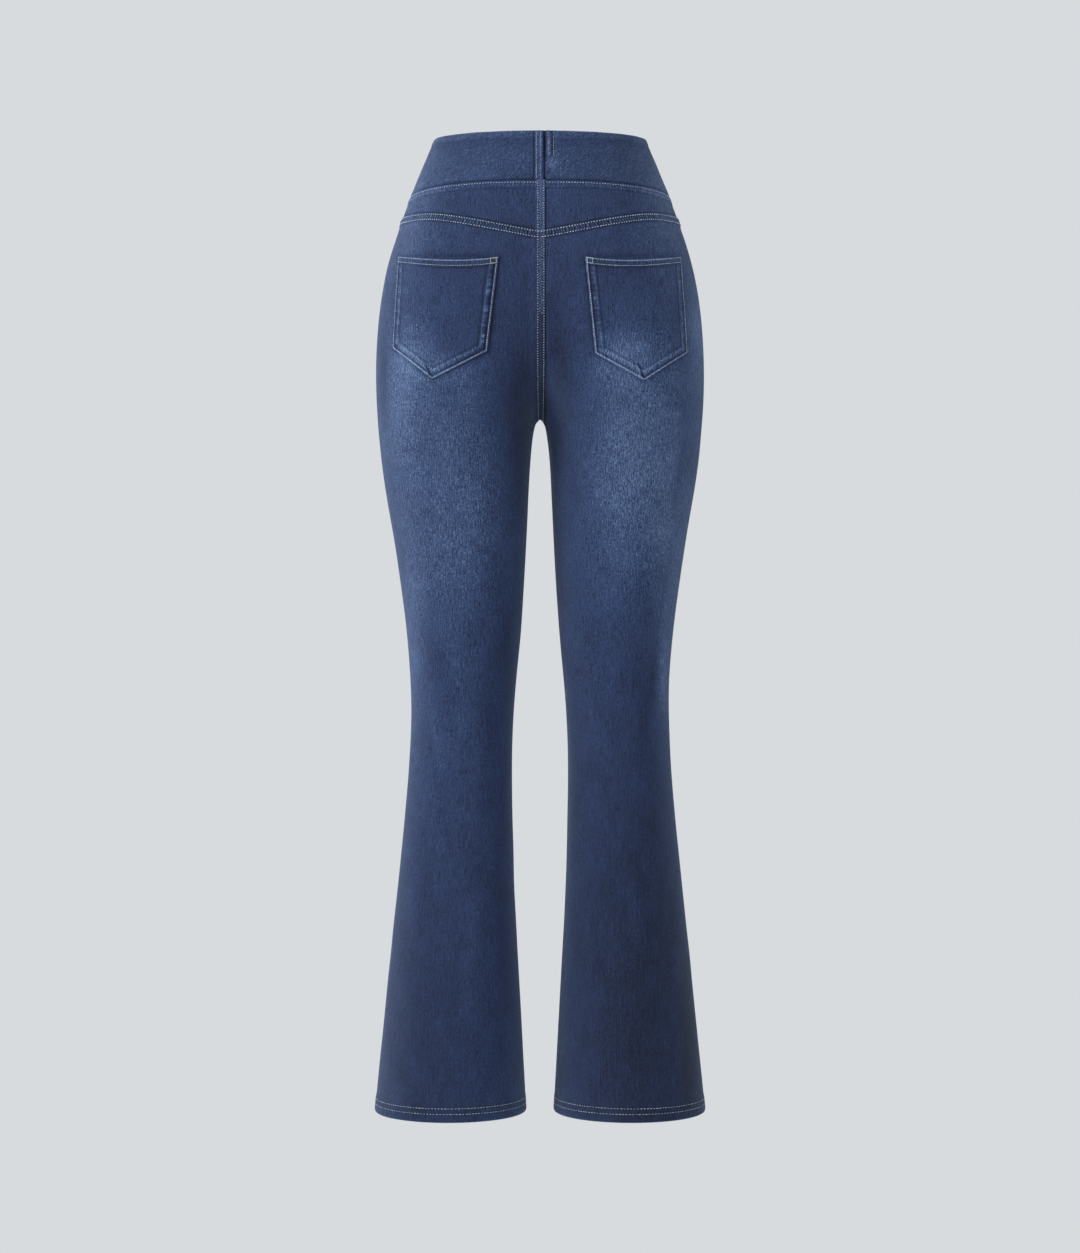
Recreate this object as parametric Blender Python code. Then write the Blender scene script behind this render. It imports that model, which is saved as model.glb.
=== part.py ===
"""Bootcut jeans with a high waist, in the hollow form that they take when worn.

Metres, +Z up. The origin is the centre of the waist opening. The front faces -Y, and +X is the wearer's left.

One smooth form carries every piece. It is a stack of level sections. Each section is an oval about the axis of
one leg, and above the crotch the ovals of the two legs run together in a soft fillet. A place on the form is
given by how far round it lies, from the side seam to the inner edge, and how far down, from waist to hem. The
inner edge is the centre seam down to the crotch, and the inseam below it. Each piece is a wall of cloth between
two offsets of the form, and its seams keep a small gap to its neighbours.
"""

import bmesh
import bpy
import numpy as np

# Cloth
DENIM = 0.0013  # wall of one layer
BAND_WALL = 0.0022  # the waistband has two layers
BAND_PROUD = 0.0005  # how far the band stands out from the form
SEAM_GAP = 0.0003
POCKET_WALL = 0.0016

# Lengths down the form
OUTSEAM = 1.0715  # waist to hem at the side
CROTCH_SHARE = 0.325  # the share of the way down at which the rise ends and the inseam starts
FRONT_DIP = 0.012  # the waist is this much lower at centre front
BAND_DROP = {"back": 0.0543, "side": 0.0665, "front": 0.0690}
BAND_LEVEL = {"back": 2.2, "front": 1.5}  # how soon the band's seam runs level on its way from the side
YOKE_DROP = {"side": 0.0865, "centre back": 0.1100}
YOKE_SHOULDER = 0.455  # where the V seam turns down, as a share of the way from side to centre back
YOKE_ROUNDING = 0.117  # how softly it turns

# Angles round a leg's axis: 0 at the side, positive towards the back
SIDE_SEAM_ANGLE = np.radians(-6)
INSEAM_TURN = np.radians(6)  # how far the inseam moves to the front below the crotch

# Level sections. drop: below the waist. side: the wall at the side. axis: the leg's axis. front, back: the wall
# before and behind. A power of 2 makes that half an ellipse, and a higher one squares it off.
SECTION_COLUMNS = ("drop", "side", "axis", "front", "back", "front_power", "back_power")
SECTIONS = (
    (0.000, 0.1160, 0.0000, 0.0880, 0.0830, 2.0, 2.0),
    (0.040, 0.1327, 0.0220, 0.0930, 0.0935, 2.1, 2.1),
    (0.089, 0.1515, 0.0420, 0.0975, 0.1085, 2.3, 2.1),
    (0.133, 0.1652, 0.0570, 0.0995, 0.1215, 2.5, 2.2),
    (0.177, 0.1741, 0.0680, 0.0990, 0.1295, 2.5, 2.2),
    (0.221, 0.1786, 0.0770, 0.0965, 0.1310, 2.4, 2.2),
    (0.265, 0.1800, 0.0850, 0.0935, 0.1240, 2.2, 2.2),
    (0.310, 0.1784, 0.0910, 0.0910, 0.1100, 2.1, 2.1),
    (0.354, 0.1746, 0.0932, 0.0890, 0.0965, 2.0, 2.0),
    (0.420, 0.1645, 0.0895, 0.0855, 0.0835, 2.0, 2.0),
    (0.509, 0.1511, 0.0850, 0.0775, 0.0700, 2.0, 2.0),
    (0.597, 0.1427, 0.0846, 0.0685, 0.0600, 2.0, 2.0),
    (0.660, 0.1430, 0.0866, 0.0655, 0.0580, 2.0, 2.0),
    (0.730, 0.1478, 0.0893, 0.0670, 0.0620, 2.0, 2.0),
    (0.818, 0.1566, 0.0926, 0.0720, 0.0690, 2.0, 2.0),
    (0.906, 0.1658, 0.0951, 0.0785, 0.0770, 2.0, 2.0),
    (0.995, 0.1749, 0.0975, 0.0845, 0.0840, 2.0, 2.0),
    (OUTSEAM, 0.1829, 0.0994, 0.0895, 0.0885, 2.0, 2.0),
)

# Between the legs. gap: from the middle to the inner end of the leg's oval, negative where it crosses the middle.
# fillet: how softly the two legs' ovals run together.
GAP_COLUMNS = ("drop", "gap", "fillet")
GAPS = (
    (0.000, -0.1100, 0.001),
    (0.089, -0.1050, 0.006),
    (0.177, -0.0900, 0.020),
    (0.221, -0.0700, 0.024),
    (0.255, -0.0440, 0.020),
    (0.280, -0.0165, 0.016),
    (0.298, -0.0025, 0.013),
    (0.308, 0.0033, 0.013),
    (0.319, 0.0066, 0.013),
    (0.335, 0.0091, 0.013),
    (0.376, 0.0122, 0.013),
    (0.464, 0.0165, 0.013),
    (0.553, 0.0226, 0.013),
    (0.641, 0.0299, 0.013),
    (0.730, 0.0310, 0.013),
    (0.818, 0.0288, 0.013),
    (0.906, 0.0244, 0.013),
    (OUTSEAM, 0.0155, 0.013),
)

# Pocket corners: the distance from the centre-back seam along the cloth, and the drop below the waist
POCKET_OPENING = ((0.0465, 0.1395), (0.1695, 0.1353))
POCKET_FOOT = ((0.1698, 0.2370), (0.1200, 0.2695), (0.0590, 0.2410))
POCKET_OPENING_ENDS = (0.83, 0.31)  # the opening's ends, as shares of the way from side to centre back
POCKET_SAG = 0.0059  # how far the opening bows down between its ends

# How finely the form's lines are found
WIDEST = 0.25  # no section reaches this far from its axis
HALVINGS = 40
CROTCH_RANGE = (0.25, 0.33)  # the crotch lies between these drops
RISE_STEPS = 400
INSEAM_STEPS = 100
TURN_SHARE = 0.2  # the share of the inseam over which it moves to the front
HIGH_SHARES = np.linspace(0, 0.4, 201)  # shares of the way down that span the band, the yoke and the pockets
PROBE = 1e-4  # the step with which the form's slope is felt
CUT_SNAP = 0.02  # of a grid cell: a cut this near a grid point goes through it
SHARP_ANGLE = np.radians(40)

# Facets
PANEL_COLUMNS = 10
HIP_ROWS = 1
SEAT_ROWS = 8
LEG_ROWS = 18
BAND_ROWS = 2
YOKE_ROWS = 2
ROW_CROWDING = 1.2  # how much closer the rows of a leg lie near its top


def clear_scene():
    for thing in list(bpy.data.objects):
        bpy.data.objects.remove(thing, do_unlink=True)


def spline(knots, values):
    """The second derivatives at the knots of the smooth curve through the values, straight at both ends."""
    step = np.diff(knots)
    slope = np.diff(values) / step
    matrix = np.eye(len(knots))
    wanted = np.zeros(len(knots))
    for i in range(1, len(knots) - 1):
        matrix[i, i - 1 : i + 2] = step[i - 1], 2 * (step[i - 1] + step[i]), step[i]
        wanted[i] = 6 * (slope[i] - slope[i - 1])
    return np.linalg.solve(matrix, wanted)


def on_spline(knots, values, bend, where):
    where = np.clip(where, knots[0], knots[-1])
    i = np.clip(np.searchsorted(knots, where) - 1, 0, len(knots) - 2)
    step = knots[i + 1] - knots[i]
    after = (where - knots[i]) / step
    before = 1 - after
    curve = (before**3 - before) * bend[i] + (after**3 - after) * bend[i + 1]
    return before * values[i] + after * values[i + 1] + curve * step**2 / 6


def curves(names, rows):
    """Each column's smooth curve over the drop: its knots, values and bends."""
    table = dict(zip(names, np.array(rows).T))
    return {name: (table["drop"], table[name], spline(table["drop"], table[name])) for name in names[1:]}


CURVES = curves(SECTION_COLUMNS, SECTIONS) | curves(GAP_COLUMNS, GAPS)


def section(drop):
    """The sizes of the level section at each drop, by name."""
    sizes = {name: on_spline(*curve, drop) for name, curve in CURVES.items()}
    sizes["middle"] = (sizes["back"] - sizes["front"]) / 2
    sizes["depth"] = (sizes["back"] + sizes["front"]) / 2
    return sizes


def oval(sizes, across, along):
    """How far a place lies outside the oval of one leg, measured from the leg's axis."""
    reach = np.hypot(across, along)
    half_width = np.where(across >= 0, sizes["side"] - sizes["axis"], sizes["axis"] - sizes["gap"])
    power = np.where(along >= 0, sizes["back_power"], sizes["front_power"])
    scale = np.abs(across / half_width) ** power + np.abs(along / sizes["depth"]) ** power
    return reach - reach / np.maximum(scale, 1e-6) ** (1 / power)


def outside(sizes, across, along):
    """How far a place lies outside both legs, with their meeting filled softly."""
    near = oval(sizes, across, along)
    far = oval(sizes, -across - 2 * sizes["axis"], along)
    closeness = np.maximum(0, 1 - np.abs(near - far) / sizes["fillet"])
    return np.minimum(near, far) - sizes["fillet"] / 4 * closeness**2


def halve(function, low, high):
    """Where the function crosses zero between low and high, by halving."""
    for _ in range(HALVINGS):
        middle = (low + high) / 2
        inside = function(middle) < 0
        low = np.where(inside, middle, low)
        high = np.where(inside, high, middle)
    return (low + high) / 2


def form_point(angle, drop):
    """The point of the form at an angle round the leg's axis, at each drop."""
    sizes = section(drop)
    cosine, sine = np.cos(angle), np.sin(angle)
    farthest = np.where(cosine < 0, sizes["axis"] / np.maximum(-cosine, 1e-6), WIDEST)
    reach = halve(lambda r: outside(sizes, r * cosine, r * sine), 0 * farthest, np.minimum(farthest, WIDEST))
    x = sizes["axis"] + reach * cosine
    y = sizes["middle"] + reach * sine
    return np.stack([x, y, -drop], axis=-1)


def crotch_drop():
    def above(drop):
        sizes = section(drop)
        return sizes["gap"] - sizes["fillet"] / 4

    return float(halve(above, *np.array(CROTCH_RANGE)))


CROTCH = crotch_drop()


def inner_edge(way):
    """The inner edge of the front (way -1) or the back (way 1): its share of the way down, angle and drop."""
    fall = np.linspace(0, 1, RISE_STEPS)
    drop = CROTCH * (1 - (1 - fall) ** 2)
    sizes = section(drop)
    reach = halve(lambda r: outside(sizes, -sizes["axis"], way * r), 0 * drop, 0 * drop + WIDEST)
    angle = np.arctan2(way * reach, -sizes["axis"])
    length = np.hypot(np.diff(way * reach + sizes["middle"]), np.diff(drop))
    travelled = np.concatenate([[0], np.cumsum(length)])
    rise_share = CROTCH_SHARE * travelled / travelled[-1]
    leg = np.linspace(0, 1, INSEAM_STEPS)[1:]
    turn = INSEAM_TURN * np.minimum(1, leg / TURN_SHARE)
    share = np.concatenate([rise_share, CROTCH_SHARE + (1 - CROTCH_SHARE) * leg])
    angle = np.concatenate([np.where(angle * way < 0, angle + way * 2 * np.pi, angle), way * np.pi + turn])
    return share, angle, np.concatenate([drop, CROTCH + (OUTSEAM - CROTCH) * leg])


INNER_EDGE = {"back": inner_edge(1), "front": inner_edge(-1)}


def ease(share):
    return share * share * (3 - 2 * share)


def place(half, across, down):
    """The point of the form, on the wearer's left. across: 0 at the side seam, 1 at the inner edge. down: 0 at
    the waist, 1 at the hem."""
    share, edge_angle, edge_drop = INNER_EDGE[half]
    side_drop = down * OUTSEAM
    drop = side_drop + (np.interp(down, share, edge_drop) - side_drop) * ease(across)
    angle = SIDE_SEAM_ANGLE + (np.interp(down, share, edge_angle) - SIDE_SEAM_ANGLE) * across
    return form_point(angle, drop)


def normal(points):
    """The direction out of the form at points on it."""

    def height(x, y, z):
        sizes = section(-z)
        return outside(sizes, x - sizes["axis"], y - sizes["middle"])

    steps = np.eye(3) * PROBE
    out = np.stack([height(*(points + step).T) - height(*(points - step).T) for step in steps], axis=-1)
    return out / np.linalg.norm(out, axis=-1, keepdims=True)


def down_at(half, across, drop):
    """How far down the form each place lies, from its drop below the waist."""
    tries = HIGH_SHARES
    found = [np.interp(d, -place(half, np.full_like(tries, a), tries)[:, 2], tries) for a, d in zip(across, drop)]
    return np.array(found)


def waist_line(half, across):
    if half == "back":
        return np.zeros_like(across)
    return down_at(half, across, FRONT_DIP * ease(across))


def band_line(half, across):
    level = BAND_DROP[half]
    return down_at(half, across, level + (BAND_DROP["side"] - level) * (1 - across) ** BAND_LEVEL[half])


def yoke_line(half, across):
    """The V seam: level from the side, then straight down to centre back, with a soft turn between."""

    def ramp(share):
        turn = share - YOKE_SHOULDER
        return (turn + np.hypot(turn, YOKE_ROUNDING)) / 2

    fall = YOKE_DROP["centre back"] - YOKE_DROP["side"]
    return down_at(half, across, YOKE_DROP["side"] + fall * ramp(across) / ramp(1))


def pocket_line(half, across):
    """The line of the pocket's opening, run on to the side and the centre back."""
    (inner, outer), (inner_drop, outer_drop) = POCKET_OPENING_ENDS, (drop for _, drop in POCKET_OPENING)
    straight = outer_drop + (inner_drop - outer_drop) * (across - outer) / (inner - outer)
    bow = (across - outer) * (inner - across) * 4 / (inner - outer) ** 2
    return down_at(half, across, straight + POCKET_SAG * bow)


def crotch_line(half, across):
    return np.full_like(across, CROTCH_SHARE)


def hem_line(half, across):
    return np.ones_like(across)


def level(line):
    """The line on the front that meets the ends of a line on the back, so that rows meet at both seams."""
    start, end = line("back", np.array([0.0, 1.0]))
    return lambda half, across: start + (end - start) * across


def grid(half, stretches):
    """A grid of places through stretches of rows, each between two lines down the form."""
    across = np.linspace(0, 1, PANEL_COLUMNS + 1)
    down = []
    for top, bottom, rows, density in stretches:
        share = np.linspace(0, 1, rows + 1)[bool(down) :, None] ** density
        down.append(top(half, across) * (1 - share) + bottom(half, across) * share)
    down = np.concatenate(down)
    return np.broadcast_to(across, down.shape).ravel(), down.ravel(), down.shape


def drawn_in(points, edges):
    """The grid with the named edges drawn in by half a seam gap."""
    moved = points.copy()
    neighbours = {"top": (0, 1, 0), "bottom": (-1, -2, 0), "side": (0, 1, 1), "inner": (-1, -2, 1)}
    for edge in edges:
        at, inward, axis = neighbours[edge]
        line, inside = np.take(points, at, axis), np.take(points, inward, axis)
        step = inside - line
        step = step / np.linalg.norm(step, axis=-1, keepdims=True) * SEAM_GAP / 2
        if axis:
            moved[:, at] += step
        else:
            moved[at] += step
    return moved


class Panel:
    """The facets of one piece of cloth on the wearer's left, and what is needed to lay another piece on it."""

    def __init__(self, half, edges, *stretches):
        across, down, shape = grid(half, stretches)
        points = place(half, across, down)
        self.half = half
        self.out = normal(points).reshape(*shape, 3)
        self.points = drawn_in(points.reshape(*shape, 3), edges)

    def layer(self, height):
        """The grid's points, lifted off the form by a height."""
        lifted = self.points + self.out * height
        centre = np.abs(lifted[:, -1, 0]) < SEAM_GAP
        lifted[centre, -1, 0] = SEAM_GAP / 2
        return lifted

    def girth(self):
        """The distance of each grid point from the inner edge, along its row."""
        length = np.linalg.norm(np.diff(self.points[:, ::-1], axis=1), axis=-1)
        return np.concatenate([np.zeros((len(length), 1)), np.cumsum(length, axis=1)], axis=1)[:, ::-1]


def on_facets(layer, column, row):
    """The point of a layer at a place between its grid points, on its triangles."""
    i = min(int(row), layer.shape[0] - 2)
    j = min(int(column), layer.shape[1] - 2)
    a, b = column - j, row - i
    corner, far = layer[i, j], layer[i + 1, j + 1]
    if a >= b:
        beside = layer[i, j + 1]
        return corner + a * (beside - corner) + b * (far - beside)
    below = layer[i + 1, j]
    return corner + b * (below - corner) + a * (far - below)


def flat_pattern(rows, columns):
    """A flat mesh with one point for each grid point, at (column, row), and two triangles a cell."""
    pattern = bmesh.new()
    spots = [[pattern.verts.new((j, i, 0)) for j in range(columns + 1)] for i in range(rows + 1)]
    for i in range(rows):
        for j in range(columns):
            pattern.faces.new((spots[i][j], spots[i][j + 1], spots[i + 1][j + 1]))
            pattern.faces.new((spots[i][j], spots[i + 1][j + 1], spots[i + 1][j]))
    return pattern


def cut(pattern, outline):
    """Keeps what lies inside a convex outline of (column, row) corners."""
    corners = np.array(outline)
    centre = corners.mean(axis=0)
    for start, end in zip(corners, np.roll(corners, -1, axis=0)):
        away = np.array([end[1] - start[1], start[0] - end[0]])
        away = away if away @ (start - centre) > 0 else -away
        bmesh.ops.bisect_plane(
            pattern,
            geom=pattern.verts[:] + pattern.edges[:] + pattern.faces[:],
            dist=CUT_SNAP,
            plane_co=(*start, 0),
            plane_no=(*away, 0),
            clear_outer=True,
        )
    bmesh.ops.triangulate(pattern, faces=pattern.faces[:])


def wall(name, pattern, low, high, material, mirrored, flip):
    """A closed wall of cloth between two layers of a panel, as one object."""
    spots = [(v.co.x, v.co.y) for v in pattern.verts]
    pattern.verts.index_update()
    count = len(spots)
    points = [on_facets(high, *spot) for spot in spots] + [on_facets(low, *spot) for spot in spots]
    faces = []
    for face in pattern.faces:
        ring = [v.index for v in face.verts]
        faces.append(ring)
        faces.append([i + count for i in reversed(ring)])
    for edge in pattern.edges:
        if edge.is_boundary:
            loop = edge.link_loops[0]
            first, second = loop.vert.index, loop.link_loop_next.vert.index
            faces.append([second, first, first + count, second + count])
    side = -1 if mirrored else 1
    if flip != mirrored:
        faces = [list(reversed(face)) for face in faces]
    mesh = bpy.data.meshes.new(name)
    mesh.from_pydata([(side * x, y, z) for x, y, z in points], [], faces)
    mesh.materials.append(material)
    mesh.shade_smooth()
    mesh.set_sharp_from_angle(angle=SHARP_ANGLE)
    thing = bpy.data.objects.new(name, mesh)
    bpy.context.scene.collection.objects.link(thing)
    return thing


def cloth(name, colour, roughness):
    material = bpy.data.materials.new(name)
    material.use_nodes = True
    shader = material.node_tree.nodes["Principled BSDF"]
    shader.inputs["Base Color"].default_value = (*colour, 1)
    shader.inputs["Roughness"].default_value = roughness
    shader.inputs["Metallic"].default_value = 0
    return material


def both_sides(name, panel, low, high, material, outline=None):
    rows, columns = (size - 1 for size in panel.points.shape[:2])
    for side in ("left", "right"):
        pattern = flat_pattern(rows, columns)
        if outline is not None:
            cut(pattern, outline)
        low_layer, high_layer = panel.layer(low), panel.layer(high)
        wall(f"{name}_{side}", pattern, low_layer, high_layer, material, side == "right", panel.half == "back")
        pattern.free()


def pocket_corners(panel):
    """The pocket's corners as (column, row) on the back panel."""
    girth, drop = panel.girth(), -panel.points[:, :, 2]
    rows = np.arange(girth.shape[0])
    columns = np.arange(girth.shape[1])
    corners = []
    for distance, depth in POCKET_OPENING + POCKET_FOOT:
        column = columns[-1] / 2
        for _ in range(20):
            drop_here = [np.interp(column, columns, line) for line in drop]
            row = np.interp(depth, drop_here, rows)
            girth_here = [np.interp(row, rows, girth[:, j]) for j in columns]
            column = np.interp(-distance, -np.array(girth_here), columns)
        corners.append((float(column), float(row)))
    return corners


def front_band(panel, material):
    """The band round the front is one piece, so its grid runs on across the middle."""
    layers = []
    for height in (BAND_PROUD - BAND_WALL, BAND_PROUD):
        left = panel.points + panel.out * height
        left[:, -1, 0] = 0
        right = left[:, -2::-1] * (-1, 1, 1)
        layers.append(np.concatenate([left, right], axis=1))
    rows, columns = (size - 1 for size in layers[0].shape[:2])
    pattern = flat_pattern(rows, columns)
    wall("waistband_front", pattern, *layers, material, False, False)
    pattern.free()


def main():
    clear_scene()
    denim = cloth("denim", (0.042, 0.060, 0.112), 0.85)
    band_denim = cloth("waistband_denim", (0.038, 0.052, 0.100), 0.85)
    pocket_denim = cloth("pocket_denim", (0.055, 0.078, 0.135), 0.85)

    band = (waist_line, band_line, BAND_ROWS, 1)
    band_back = Panel("back", ("bottom", "side"), band)
    both_sides("waistband_back", band_back, BAND_PROUD - BAND_WALL, BAND_PROUD, band_denim)
    front_band(Panel("front", ("bottom", "side"), band), band_denim)

    yoke = Panel("back", ("top", "bottom", "side"), (band_line, yoke_line, YOKE_ROWS, 1))
    both_sides("yoke", yoke, -DENIM, 0, denim)

    edges = ("top", "side", "inner")
    leg = (crotch_line, hem_line, LEG_ROWS, ROW_CROWDING)
    hip = (yoke_line, pocket_line, HIP_ROWS, 1)
    back = Panel("back", edges, hip, (pocket_line, crotch_line, SEAT_ROWS, 1), leg)
    both_sides("back", back, -DENIM, 0, denim)
    yoke_level, pocket_level = level(yoke_line), level(pocket_line)
    hip = ((band_line, yoke_level, YOKE_ROWS, 1), (yoke_level, pocket_level, HIP_ROWS, 1))
    front = Panel("front", edges, *hip, (pocket_level, crotch_line, SEAT_ROWS, 1), leg)
    both_sides("front", front, -DENIM, 0, denim)

    corners = pocket_corners(back)
    both_sides("back_pocket", back, SEAM_GAP, SEAM_GAP + POCKET_WALL, pocket_denim, corners)


main()
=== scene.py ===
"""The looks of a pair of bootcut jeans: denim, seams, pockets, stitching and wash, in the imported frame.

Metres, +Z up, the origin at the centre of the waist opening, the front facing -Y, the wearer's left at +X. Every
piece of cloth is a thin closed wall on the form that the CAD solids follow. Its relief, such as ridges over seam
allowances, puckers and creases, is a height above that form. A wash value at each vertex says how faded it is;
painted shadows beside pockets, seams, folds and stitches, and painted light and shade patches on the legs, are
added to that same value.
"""

import math

import bpy
import numpy as np
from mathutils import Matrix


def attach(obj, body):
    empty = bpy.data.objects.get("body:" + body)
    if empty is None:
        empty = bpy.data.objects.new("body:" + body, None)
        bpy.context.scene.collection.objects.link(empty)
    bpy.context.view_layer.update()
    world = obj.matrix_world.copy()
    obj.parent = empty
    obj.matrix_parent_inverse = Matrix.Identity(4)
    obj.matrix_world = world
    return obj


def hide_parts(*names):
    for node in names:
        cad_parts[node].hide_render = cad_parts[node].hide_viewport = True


# Cloth
DENIM = 0.0013
BAND_WALL = 0.0022
BAND_PROUD = 0.0005
POCKET_WALL = 0.0016
SEAM_GAP = 0.0003

# Lengths down the form, as in the CAD model
OUTSEAM = 1.0715
CROTCH_SHARE = 0.325
FRONT_DIP = 0.012
BAND_DROP = {"back": 0.0543, "side": 0.0665, "front": 0.0690}
BAND_LEVEL = {"back": 2.2, "front": 1.5}
YOKE_DROP = {"side": 0.0865, "centre back": 0.1100}
YOKE_SHOULDER = 0.455
YOKE_ROUNDING = 0.117
SIDE_SEAM_ANGLE = np.radians(-6)
INSEAM_TURN = np.radians(6)

# Level sections, as in the CAD model. drop: below the waist. side: the wall at the side. axis: the leg's axis.
# front, back: the wall before and behind. A power over 2 squares that half of the oval off.
SECTION_COLUMNS = ("drop", "side", "axis", "front", "back", "front_power", "back_power")
SECTIONS = (
    (0.000, 0.1160, 0.0000, 0.0880, 0.0830, 2.0, 2.0),
    (0.040, 0.1327, 0.0220, 0.0930, 0.0935, 2.1, 2.1),
    (0.089, 0.1515, 0.0420, 0.0975, 0.1085, 2.3, 2.1),
    (0.133, 0.1652, 0.0570, 0.0995, 0.1215, 2.5, 2.2),
    (0.177, 0.1741, 0.0680, 0.0990, 0.1295, 2.5, 2.2),
    (0.221, 0.1786, 0.0770, 0.0965, 0.1310, 2.4, 2.2),
    (0.265, 0.1800, 0.0850, 0.0935, 0.1240, 2.2, 2.2),
    (0.310, 0.1784, 0.0910, 0.0910, 0.1100, 2.1, 2.1),
    (0.354, 0.1746, 0.0932, 0.0890, 0.0965, 2.0, 2.0),
    (0.420, 0.1645, 0.0895, 0.0855, 0.0835, 2.0, 2.0),
    (0.509, 0.1511, 0.0850, 0.0775, 0.0700, 2.0, 2.0),
    (0.597, 0.1427, 0.0846, 0.0685, 0.0600, 2.0, 2.0),
    (0.660, 0.1430, 0.0866, 0.0655, 0.0580, 2.0, 2.0),
    (0.730, 0.1478, 0.0893, 0.0670, 0.0620, 2.0, 2.0),
    (0.818, 0.1566, 0.0926, 0.0720, 0.0690, 2.0, 2.0),
    (0.906, 0.1658, 0.0951, 0.0785, 0.0770, 2.0, 2.0),
    (0.995, 0.1749, 0.0975, 0.0845, 0.0840, 2.0, 2.0),
    (OUTSEAM, 0.1829, 0.0994, 0.0895, 0.0885, 2.0, 2.0),
)

# Between the legs. gap: from the middle to the inner end of the leg's oval. fillet: how softly the two ovals join.
GAP_COLUMNS = ("drop", "gap", "fillet")
GAPS = (
    (0.000, -0.1100, 0.001),
    (0.089, -0.1050, 0.006),
    (0.177, -0.0900, 0.020),
    (0.221, -0.0700, 0.024),
    (0.255, -0.0440, 0.020),
    (0.280, -0.0165, 0.016),
    (0.298, -0.0025, 0.013),
    (0.308, 0.0033, 0.013),
    (0.319, 0.0066, 0.013),
    (0.335, 0.0091, 0.013),
    (0.376, 0.0122, 0.013),
    (0.464, 0.0165, 0.013),
    (0.553, 0.0226, 0.013),
    (0.641, 0.0299, 0.013),
    (0.730, 0.0310, 0.013),
    (0.818, 0.0288, 0.013),
    (0.906, 0.0244, 0.013),
    (OUTSEAM, 0.0155, 0.013),
)
WIDEST = 0.25
HALVINGS = 34

# Pocket corners, as the distance from the middle seen from behind and the drop below the waist: the opening's
# inner and outer ends, then the foot's outer corner, its point and its inner corner
POCKET_CORNERS = {
    "left": ((0.0446, 0.1395), (0.1515, 0.1350), (0.1570, 0.2348), (0.1148, 0.2688), (0.0567, 0.2398)),
    "right": ((0.0483, 0.1394), (0.1507, 0.1355), (0.1571, 0.2399), (0.1111, 0.2703), (0.0591, 0.2421)),
}
POCKET_SAG = 0.0050  # how far the opening bows down between its ends
POCKET_HEIGHT = SEAM_GAP + POCKET_WALL

# Hem
HEM_DEPTH = 0.0175
HEM_PROUD = 0.0004
HEM_ROWS = (0.0088, 0.0150)  # stitch rows above the lower edge
HEM_TURNING = 0.0275  # cloth turned up inside the hem, twice

# Seams. Rows of stitches are distances from the seam or edge that they run beside.
GROOVE = 0.0050  # from the centre to the dark gap between the two folded strips
TAB_HEIGHT = 0.0011  # the folded strips, above the waistband
STRIP_FOOT = -0.0004  # how far the seams' strips reach into the cloth below them
BAND_ROW = 0.0029
YOKE_ROWS = (0.0016, 0.0081)
YOKE_ROWS_LOWER = 0.0010  # how much lower they run near the side seams
FELL_EDGES = (-0.0058, 0.0036)  # the centre-back strip's folded edge and its other edge
FELL_ROWS = (-0.0042, 0.0024)
COVER_SWING = 0.0034  # the looper thread between those two rows: the length of one swing
COVER_LENGTH = 0.150
EDGE_ROW = 0.0012  # round the pocket's sewn sides
OPENING_ROWS = (0.0013, 0.0068)
POCKET_TURNING = 0.010  # cloth turned under along a pocket's opening, beyond what shows
POCKET_PAINTED_SHADOW = {"opening": 0.5, "outer": 0.4, "foot": 1.0, "inner": 1.0}  # how dark the painted shadow on the cloth beside each edge is
NOTCH_SLOPE = 0.50  # the small fold above a pocket's point: how far sideways it runs for its height
NOTCH_HEIGHT = 0.016

# Stitches: their pitch, and each one's length and width
SEWN = {
    "fold_long": (0.0023, 0.0013, 0.00060),
    "fold_short": (0.0021, 0.0012, 0.00050),
    "band": (0.0030, 0.0017, 0.00065),
    "yoke": (0.0030, 0.0016, 0.00080),
    "centre": (0.0028, 0.0014, 0.00060),
    "cover": (0.0026, 0.0021, 0.00028),
    "hem": (0.0036, 0.0027, 0.00058),
    "pocket": (0.0026, 0.0024, 0.00052),
    "opening_upper": (0.0028, 0.0026, 0.00044),
    "opening_lower": (0.0028, 0.0026, 0.00060),
    "bar_tack": (0.0009, 0.0012, 0.00050),
}

# Grids
PATH_STEP = 0.0008  # between the points of a seam's path
RIM_BULGE = 0.3  # of the wall: how far its edge rounds out
GRAIN_LINE = 0.088  # x of the middle of the leg
EDGE_CROWDING = 0.55  # how much closer a piece's columns lie at its two edges
UV_START = {1: (0.0, 0.0), -1: (3.1, 1.7)}  # the two sides are cut from different places of the cloth
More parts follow.
